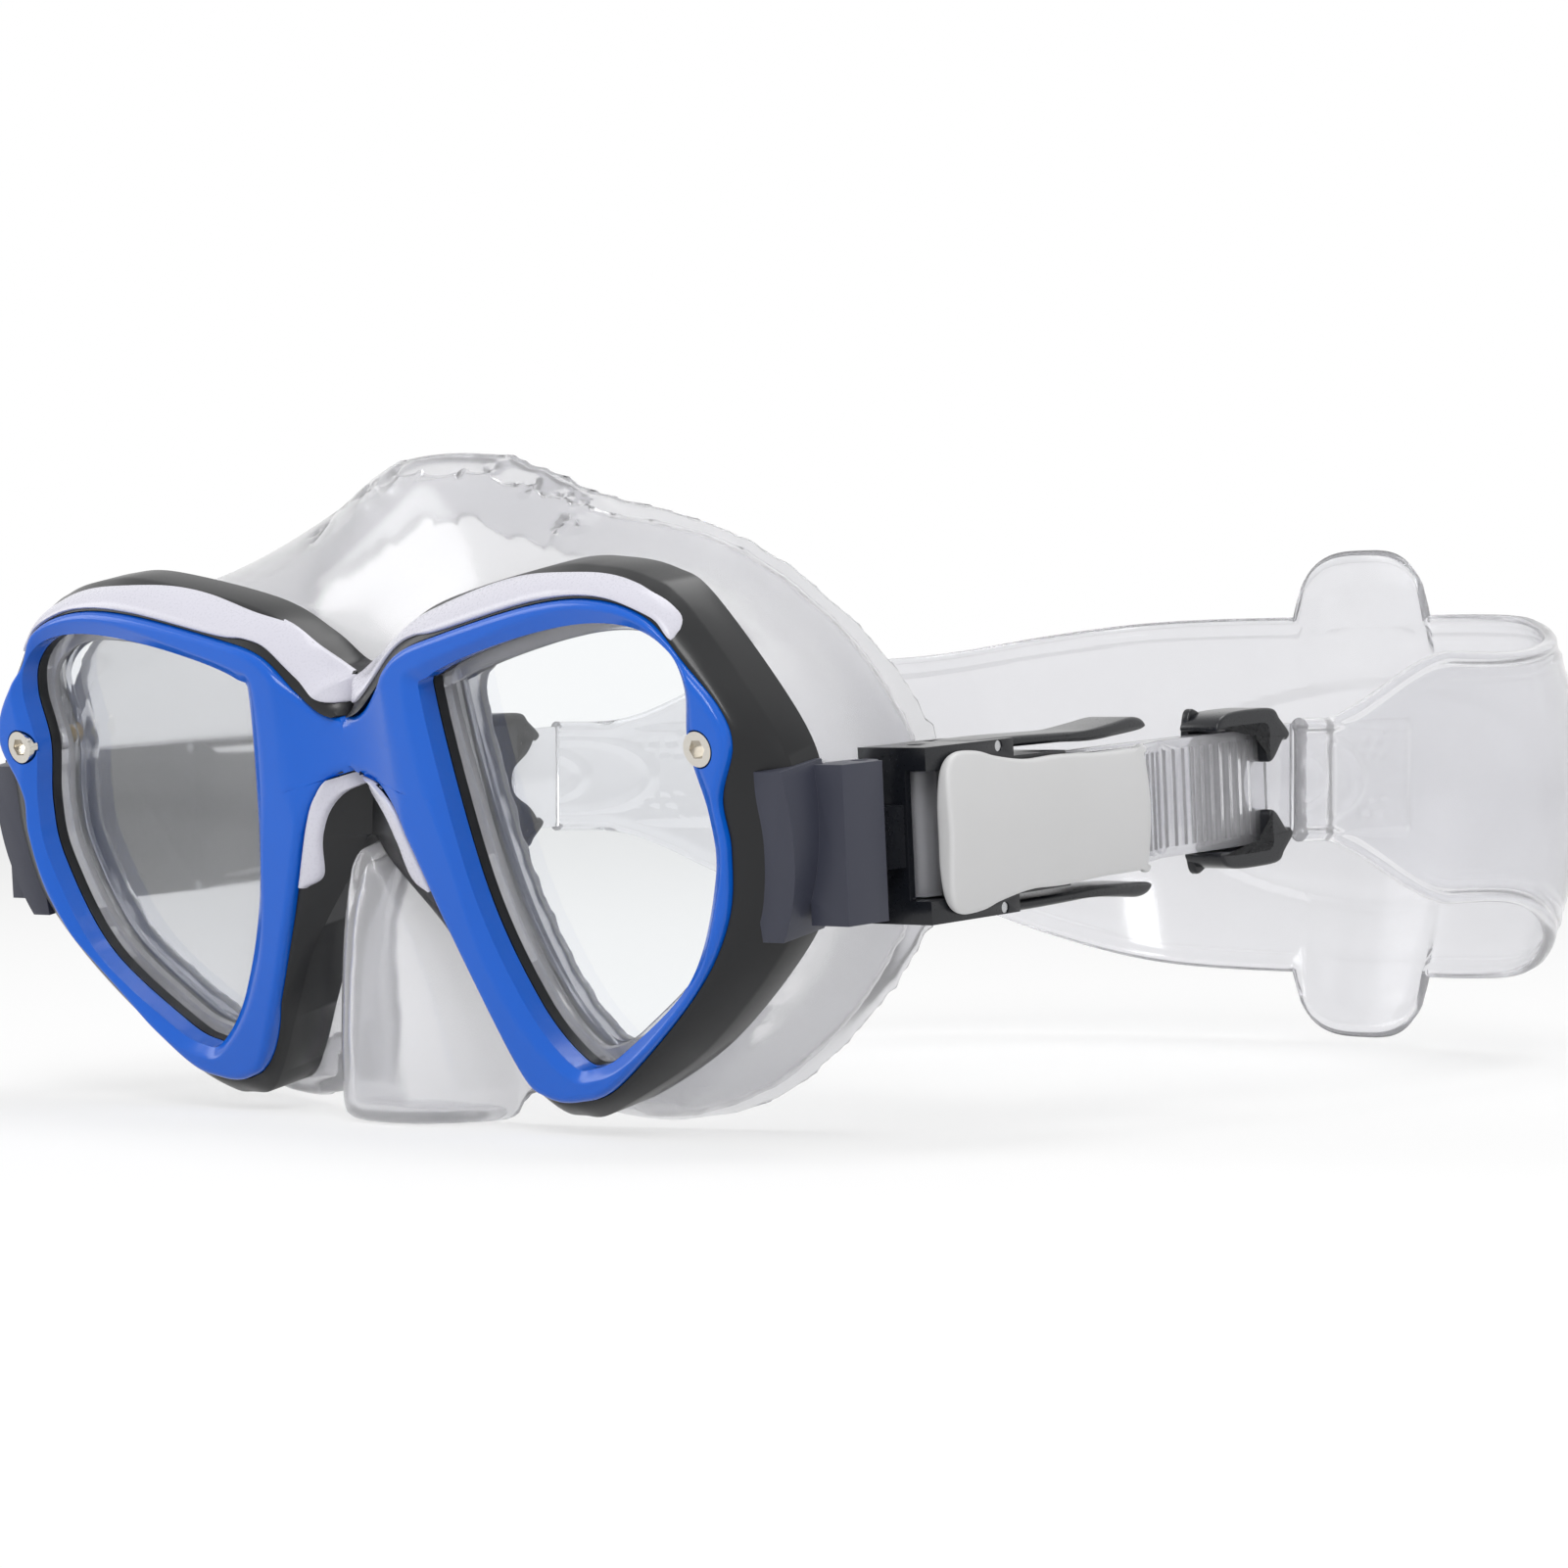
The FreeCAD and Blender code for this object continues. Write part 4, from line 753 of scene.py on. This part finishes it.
def bandRelief(along, up, back):
    # raised strap on each arm with an oval and rows of dimples, a bead line inside the pad's rim, arcs at the back
    side = np.abs(along)
    level = up - strapMiddle()
    arm = np.clip((strap["half"] - 0.8 - np.abs(level)) / 0.5, 0, 1) * np.clip((171.0 - back) / 0.5, 0, 1)
    oval = np.hypot((back - 138.0) / 17.0, level / 6.6)
    relief = 0.35 * eased(arm) + ridge((oval - 1) * 6.6, 0.5, 0.25) * (back > 120)
    relief = relief + ridge((np.hypot((back - 131.0) / 9.0, level / 4.2) - 1) * 4.2, 0.5, 0.2)
    dimple = np.cos((back - 150) * 2 * math.pi / 4.2) * np.cos(level * 2 * math.pi / 4.2)
    spots = np.clip((dimple - 0.72) / 0.28, 0, 1) * (back > 150) * (back < 167) * (np.abs(level) < 8.2) * (np.abs(level) > 3.0)
    relief = relief - 0.3 * spots
    top, low = bandHeights(back)
    rim = np.minimum(top - up, up - low)
    relief = relief + ridge(rim - 4.2, 0.6, 0.3) * eased((back - 165) / 25)
    heart = np.hypot(side / 44.0, (up - strap["middle"]) / 20.0)
    relief = relief + ridge((heart - 1) * 20, 0.8, 0.4) * (back > 225)
    return relief


def bandMesh(name, first, last, count, material, body, replaced, capFirst, capLast):
    # a closed cross-section carried along the path: outer face, rounded rim with a bead, inner face
    path = strapPath(count)
    way = np.gradient(path, axis=0)
    way /= np.linalg.norm(way, axis=1, keepdims=True)
    outward = np.stack([way[:, 1], -way[:, 0]], 1)
    length = np.concatenate([[0], np.cumsum(np.linalg.norm(np.diff(path, axis=0), axis=1))])
    along = (length[-1] / 2 - length)[:, None]
    steps = 62
    v = -np.cos(np.linspace(0, math.pi, steps)) * 0.5 + 0.5 * np.linspace(-1, 1, steps)
    v = np.concatenate([v, v[::-1]])[None, :]
    face = np.concatenate([np.ones(steps), -np.ones(steps)])[None, :]
    back = path[:, 1:2] + 0 * v
    top, low = bandHeights(back)
    # lift tabs: flat-topped bumps of the rim behind the head
    tab = np.clip(1 - np.abs(along / strap["tabHalf"]) ** 3.2, 0, 1) ** 0.55
    tab = tab * eased((strap["tabHalf"] + 2 - np.abs(along)) / 4)
    reach = np.clip(np.abs(v), 0, 1) ** 3
    up = (top + low) / 2 + v * (top - low) / 2
    up = up + np.where(v > 0, (strap["tabTop"] - top) * tab * reach, (strap["tabBottom"] - low) * tab * reach)
    rim = (1 - np.abs(v)) * (top - low) / 2
    thick = strap["thick"] / 2 * np.sqrt(1 - (1 - np.clip(rim / 0.9, 0, 1)) ** 2)
    thick = thick + strap["bead"] * 0.5 * np.exp(-((rim - 1.1) / 0.9) ** 2) * np.clip(rim / 0.5, 0, 1)
    cup = strap["cup"] * (1 - v ** 2) * eased((back - 190) / 60) - strap["cup"] * 0.6 * eased((back - 190) / 60)
    offset = face * thick + cup + np.where(face > 0, bandRelief(along + 0 * v, up, back), 0)
    points = np.stack([path[:, 0:1] + outward[:, 0:1] * offset, back - front["setback"] + outward[:, 1:2] * offset, up], -1)
    points = points[first:last]
    rows, columns = points.shape[:2]
    faces = gridFaces(rows, columns, False, True)
    for wanted, start in ((capFirst, 0), (capLast, (rows - 1) * columns)):
        if wanted:
            pairs = np.arange(steps - 1)
            other = columns - 1 - pairs
            faces += (np.stack([pairs, pairs + 1, other - 1, other], 1) + start).tolist()
    thing = makeMesh(name, points, faces, material, body, replaced)
    tidyNormals(thing, 0.00001)
    return thing



def makeStrap(material):
    # two arms at the buckle ends, and the pad between them
    count, cut = 380, 26
    for name, first, last, capFirst, capLast, sign in (("left", 0, cut, True, False, 1),
                                                      ("right", count - cut, count, False, True, -1)):
        arm = bandMesh("strapArm_" + name, first, last, count, material, None, (), capFirst, capLast)
        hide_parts("strap_side_" + name)
        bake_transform(arm)
    bandMesh("rearPad", cut - 1, count - cut + 1, count, material, "mask", ("strap_rear_pad",), False, False)


# Finishes
def clearSilicone(name, look):
    # liquid silicone rubber, pressed in a polished mould: milky clear, soft highlights, a little darker where it is thick
    material, tree, output, place = startMaterial(name)
    cloud = addNode(tree, "ShaderNodeTexNoise", {"Scale": look["cloudPerMetre"], "Detail": 3.0}, {"Vector": place})
    haze = addNode(tree, "ShaderNodeMapRange", {"To Min": look["roughLow"], "To Max": look["roughHigh"]},
                   {"Value": cloud.outputs["Fac"]})
    fine = addNode(tree, "ShaderNodeTexNoise", {"Scale": look["ripplePerMetre"], "Detail": 2.0}, {"Vector": place})
    bump = addNode(tree, "ShaderNodeBump", {"Strength": look["bump"], "Distance": 0.001},
                   {"Height": fine.outputs["Fac"]})
    tint = addNode(tree, "ShaderNodeMix", {"data_type": "RGBA"}, {"Factor": cloud.outputs["Fac"]})
    tint.inputs["A"].default_value = linearColour(look["colour"])
    tint.inputs["B"].default_value = linearColour(look["colourTwo"])
    shader = addNode(tree, "ShaderNodeBsdfPrincipled", {"IOR": look["ior"], "Transmission Weight": look["clear"]},
                     {"Base Color": tint.outputs["Result"], "Roughness": haze.outputs["Result"],
                      "Normal": bump.outputs["Normal"]})
    tree.links.new(shader.outputs["BSDF"], output.inputs["Surface"])
    return material


def temperedGlass():
    # flat tempered soda-lime glass: almost no colour, mirror-smooth, with the faintest haze of handling
    material, tree, output, place = startMaterial("tempered glass, polished")
    smear = addNode(tree, "ShaderNodeTexNoise", {"Scale": 60.0, "Detail": 4.0}, {"Vector": place})
    rough = addNode(tree, "ShaderNodeMapRange", {"From Min": 0.45, "To Min": 0.0, "To Max": 0.03},
                    {"Value": smear.outputs["Fac"]})
    shader = addNode(tree, "ShaderNodeBsdfPrincipled", {"IOR": 1.5, "Transmission Weight": 1.0,
                     "Base Color": linearColour("#F7F9FA")}, {"Roughness": rough.outputs["Result"]})
    tree.links.new(shader.outputs["BSDF"], output.inputs["Surface"])
    return material


def turnedMetal(name, look):
    # turned and plated metal: bright, with fine lines from the lathe or drawing
    material, tree, output, place = startMaterial(name)
    lines = addNode(tree, "ShaderNodeTexNoise", {"Scale": look["linesPerMetre"], "Detail": 2.0}, {"Vector": place})
    rough = addNode(tree, "ShaderNodeMapRange", {"To Min": look["roughLow"], "To Max": look["roughHigh"]},
                    {"Value": lines.outputs["Fac"]})
    tint = addNode(tree, "ShaderNodeMix", {"data_type": "RGBA"}, {"Factor": lines.outputs["Fac"]})
    tint.inputs["A"].default_value = linearColour(look["colour"])
    tint.inputs["B"].default_value = linearColour(look["colourTwo"])
    shader = addNode(tree, "ShaderNodeBsdfPrincipled", {"Metallic": 1.0},
                     {"Base Color": tint.outputs["Result"], "Roughness": rough.outputs["Result"]})
    tree.links.new(shader.outputs["BSDF"], output.inputs["Surface"])
    return material


# Moulded parts: flow marks 25 mm apart, a skin grain of 0.4 mm
plasticLooks = {
    "blue": {"colour": "#0058C2", "colourTwo": "#045FCC", "flowPerMetre": 40.0, "grainPerMetre": 2500.0,
             "roughLow": 0.16, "roughHigh": 0.24, "bump": 0.04, "coat": 0.1, "coatRough": 0.08},
    "lavender": {"colour": "#CBCAD4", "colourTwo": "#D1D0DA", "flowPerMetre": 40.0, "grainPerMetre": 2500.0,
                 "roughLow": 0.24, "roughHigh": 0.32, "bump": 0.04, "coat": 0.15, "coatRough": 0.12},
    "black": {"colour": "#0E0F11", "colourTwo": "#131417", "flowPerMetre": 40.0, "grainPerMetre": 2500.0,
              "roughLow": 0.28, "roughHigh": 0.38, "bump": 0.05, "coat": 0.1, "coatRough": 0.15},
    "hinge": {"colour": "#333542", "colourTwo": "#393B47", "flowPerMetre": 40.0, "grainPerMetre": 2500.0,
              "roughLow": 0.36, "roughHigh": 0.46, "bump": 0.06, "coat": 0.0, "coatRough": 0.2},
    "buckle": {"colour": "#111318", "colourTwo": "#16181D", "flowPerMetre": 40.0, "grainPerMetre": 2500.0,
               "roughLow": 0.24, "roughHigh": 0.34, "bump": 0.05, "coat": 0.15, "coatRough": 0.12},
    "cover": {"colour": "#C9C9C9", "colourTwo": "#CECECF", "flowPerMetre": 40.0, "grainPerMetre": 2500.0,
              "roughLow": 0.34, "roughHigh": 0.42, "bump": 0.05, "coat": 0.0, "coatRough": 0.2},
    "roller": {"colour": "#5A5C66", "colourTwo": "#62646E", "flowPerMetre": 40.0, "grainPerMetre": 2500.0,
               "roughLow": 0.3, "roughHigh": 0.4, "bump": 0.04, "coat": 0.0, "coatRough": 0.2},
}
# Silicone: clouds 30 mm across, mould ripple 12 mm across
siliconeLooks = {
    "skirt": {"colour": "#E9E9EC", "colourTwo": "#F0F0F2", "cloudPerMetre": 33.0, "ripplePerMetre": 60.0,
              "roughLow": 0.10, "roughHigh": 0.2, "bump": 0.12, "ior": 1.41, "clear": 0.8},
    "strap": {"colour": "#EBEBEE", "colourTwo": "#F2F2F5", "cloudPerMetre": 33.0, "ripplePerMetre": 60.0,
              "roughLow": 0.08, "roughHigh": 0.16, "bump": 0.12, "ior": 1.41, "clear": 0.85},
}
metalLooks = {
    "screw": {"colour": "#C9C4BC", "colourTwo": "#D8D4CC", "linesPerMetre": 3000.0, "roughLow": 0.14, "roughHigh": 0.26},
    "pin": {"colour": "#B8B9BB", "colourTwo": "#C6C7C9", "linesPerMetre": 2500.0, "roughLow": 0.22, "roughHigh": 0.34},
    "nut": {"colour": "#B99A52", "colourTwo": "#C7A961", "linesPerMetre": 2500.0, "roughLow": 0.24, "roughHigh": 0.36},
}


def makeFinishes():
    names = {"blue": "ABS, blue gloss", "lavender": "ABS, pale lavender gloss", "black": "ABS, black satin",
             "hinge": "acetal, blue-grey matt", "buckle": "acetal, black satin", "cover": "ABS, warm white matt",
             "roller": "nylon, grey"}
    made = {key: mouldedPlastic(names[key], look) for key, look in plasticLooks.items()}
    made["skirt"] = clearSilicone("silicone rubber, clear polished", siliconeLooks["skirt"])
    made["strap"] = clearSilicone("silicone rubber, clear strap", siliconeLooks["strap"])
    made["glass"] = temperedGlass()
    made["screw"] = turnedMetal("stainless steel, polished", metalLooks["screw"])
    made["pin"] = turnedMetal("stainless steel, drawn", metalLooks["pin"])
    made["nut"] = turnedMetal("brass, turned", metalLooks["nut"])
    return made


# Stage: white all round for the eye, plain soft light for the object
stageLook = {"world": 0.5, "key": 13.0, "fill": 5.0, "top": 7.0, "floorLit": 0.35}


def makeStage():
    world = bpy.data.worlds.new("studio")
    scene.world = world
    world.use_nodes = True
    tree = world.node_tree
    tree.nodes.clear()
    seen = addNode(tree, "ShaderNodeLightPath")
    camera = addNode(tree, "ShaderNodeMath", {"operation": "MAXIMUM"})
    tree.links.new(seen.outputs["Is Camera Ray"], camera.inputs[0])
    tree.links.new(seen.outputs["Is Transmission Ray"], camera.inputs[1])
    shown = addNode(tree, "ShaderNodeMath", {"operation": "MAXIMUM"})
    tree.links.new(camera.outputs[0], shown.inputs[0])
    tree.links.new(seen.outputs["Is Glossy Ray"], shown.inputs[1])
    strength = addNode(tree, "ShaderNodeMapRange", {"To Min": stageLook["world"], "To Max": 1.0},
                       {"Value": shown.outputs[0]})
    sky = addNode(tree, "ShaderNodeBackground", {"Color": (1, 1, 1, 1)}, {"Strength": strength.outputs["Result"]})
    out = addNode(tree, "ShaderNodeOutputWorld")
    tree.links.new(sky.outputs["Background"], out.inputs["Surface"])

    floorMaterial, tree, output, place = startMaterial("floor, matt white")
    seen = addNode(tree, "ShaderNodeLightPath")
    camera = addNode(tree, "ShaderNodeMath", {"operation": "MAXIMUM"})
    tree.links.new(seen.outputs["Is Camera Ray"], camera.inputs[0])
    tree.links.new(seen.outputs["Is Transmission Ray"], camera.inputs[1])
    shown = addNode(tree, "ShaderNodeMath", {"operation": "MAXIMUM"})
    tree.links.new(camera.outputs[0], shown.inputs[0])
    tree.links.new(seen.outputs["Is Glossy Ray"], shown.inputs[1])
    share = addNode(tree, "ShaderNodeMath", {"operation": "MULTIPLY"})
    tree.links.new(shown.outputs[0], share.inputs[0])
    share.inputs[1].default_value = 1 - stageLook["floorLit"]
    matt = addNode(tree, "ShaderNodeBsdfDiffuse", {"Color": (0.9, 0.9, 0.9, 1)})
    glow = addNode(tree, "ShaderNodeEmission", {"Color": (1, 1, 1, 1), "Strength": 1.0})
    mix = addNode(tree, "ShaderNodeMixShader")
    tree.links.new(share.outputs[0], mix.inputs[0])
    tree.links.new(matt.outputs[0], mix.inputs[1])
    tree.links.new(glow.outputs[0], mix.inputs[2])
    tree.links.new(mix.outputs[0], output.inputs["Surface"])
    mesh = bpy.data.meshes.new("floor")
    mesh.from_pydata([(-6, -6, 0), (6, -6, 0), (6, 6, 0), (-6, 6, 0)], [], [(0, 1, 2, 3)])
    mesh.materials.append(floorMaterial)
    floor = bpy.data.objects.new("floor", mesh)
    scene.collection.objects.link(floor)

    def lamp(name, place, aim, size, power):
        data = bpy.data.lights.new(name, "AREA")
        data.shape, data.size, data.size_y, data.energy = "RECTANGLE", size[0], size[1], power
        thing = bpy.data.objects.new(name, data)
        thing.location = place
        thing.rotation_euler = (Vector(aim) - Vector(place)).to_track_quat("-Z", "Y").to_euler()
        scene.collection.objects.link(thing)

    lamp("keyLamp", (0.9, -1.0, 1.1), (0.0, 0.05, 0.05), (0.5, 0.9), stageLook["key"])
    lamp("fillLamp", (-1.1, -0.7, 0.5), (0.0, 0.05, 0.05), (0.5, 1.0), stageLook["fill"])
    lamp("topLamp", (0.1, 0.5, 1.4), (0.0, 0.1, 0.05), (0.9, 0.7), stageLook["top"])


def makeCamera():
    # the photograph's own viewpoint: a little right of the mask and level with it
    data = bpy.data.cameras.new("camera")
    data.sensor_width, data.lens = 36.0, 36.0 * 5025 / 1601
    data.clip_start, data.clip_end = 0.01, 50.0
    thing = bpy.data.objects.new("camera", data)
    ahead = Vector((-0.6678, 0.7443, -0.01047)).normalized()
    right = Vector((0.7443, 0.6678, 0.0)).normalized()
    up = right.cross(ahead)
    turn = Matrix((right, up, -ahead)).transposed().to_4x4()
    thing.matrix_world = Matrix.Translation((0.55031, -0.52921, 0.06013)) @ turn
    scene.collection.objects.link(thing)
    scene.camera = thing
    scene.view_settings.view_transform = "Standard"


def paint(material, *nodes):
    # gives kept CAD nodes their finish
    for node in nodes:
        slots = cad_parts[node].data.materials
        if len(slots):
            for i in range(len(slots)):
                slots[i] = material
        else:
            slots.append(material)


def makeMask():
    finish = makeFinishes()
    print("finishes made")
    makeBezel(finish["blue"])
    makeFrame(finish["black"])
    makeBrowTrim(finish["lavender"])
    makeNoseTrim(finish["lavender"])
    print("front made")
    makeSkirt(finish["skirt"])
    print("skirt made")
    for side, name in ((1, "left"), (-1, "right")):
        softenedCopy("strapBracket_" + name, "strap_bracket_" + name, "mask", finish["hinge"], 0.6)
        softenedCopy("buckleBody_" + name, "buckle_body_" + name, "buckle_" + name, finish["buckle"], 0.5)
        softenedCopy("strapEnd_" + name, "strap_end_" + name, "buckle_" + name, finish["strap"], 0.15)
        makeCover(side, name, finish["cover"])
        makeLevers(side, name, finish["buckle"])
        makeKeeper(side, name, finish["buckle"])
        paint(finish["glass"], "lens_" + name)
        paint(finish["screw"], "bezel_screw_" + name)
        paint(finish["nut"], "screw_nut_" + name)
        paint(finish["pin"], "hinge_pin_" + name, "lever_pin_upper_" + name, "lever_pin_lower_" + name)
        paint(finish["roller"], "strap_roller_" + name)
        paint(finish["buckle"], "lock_pawl_" + name)
    print("buckles made")
    makeStrap(finish["strap"])
    print("strap made")


makeCamera()
makeStage()
makeMask()
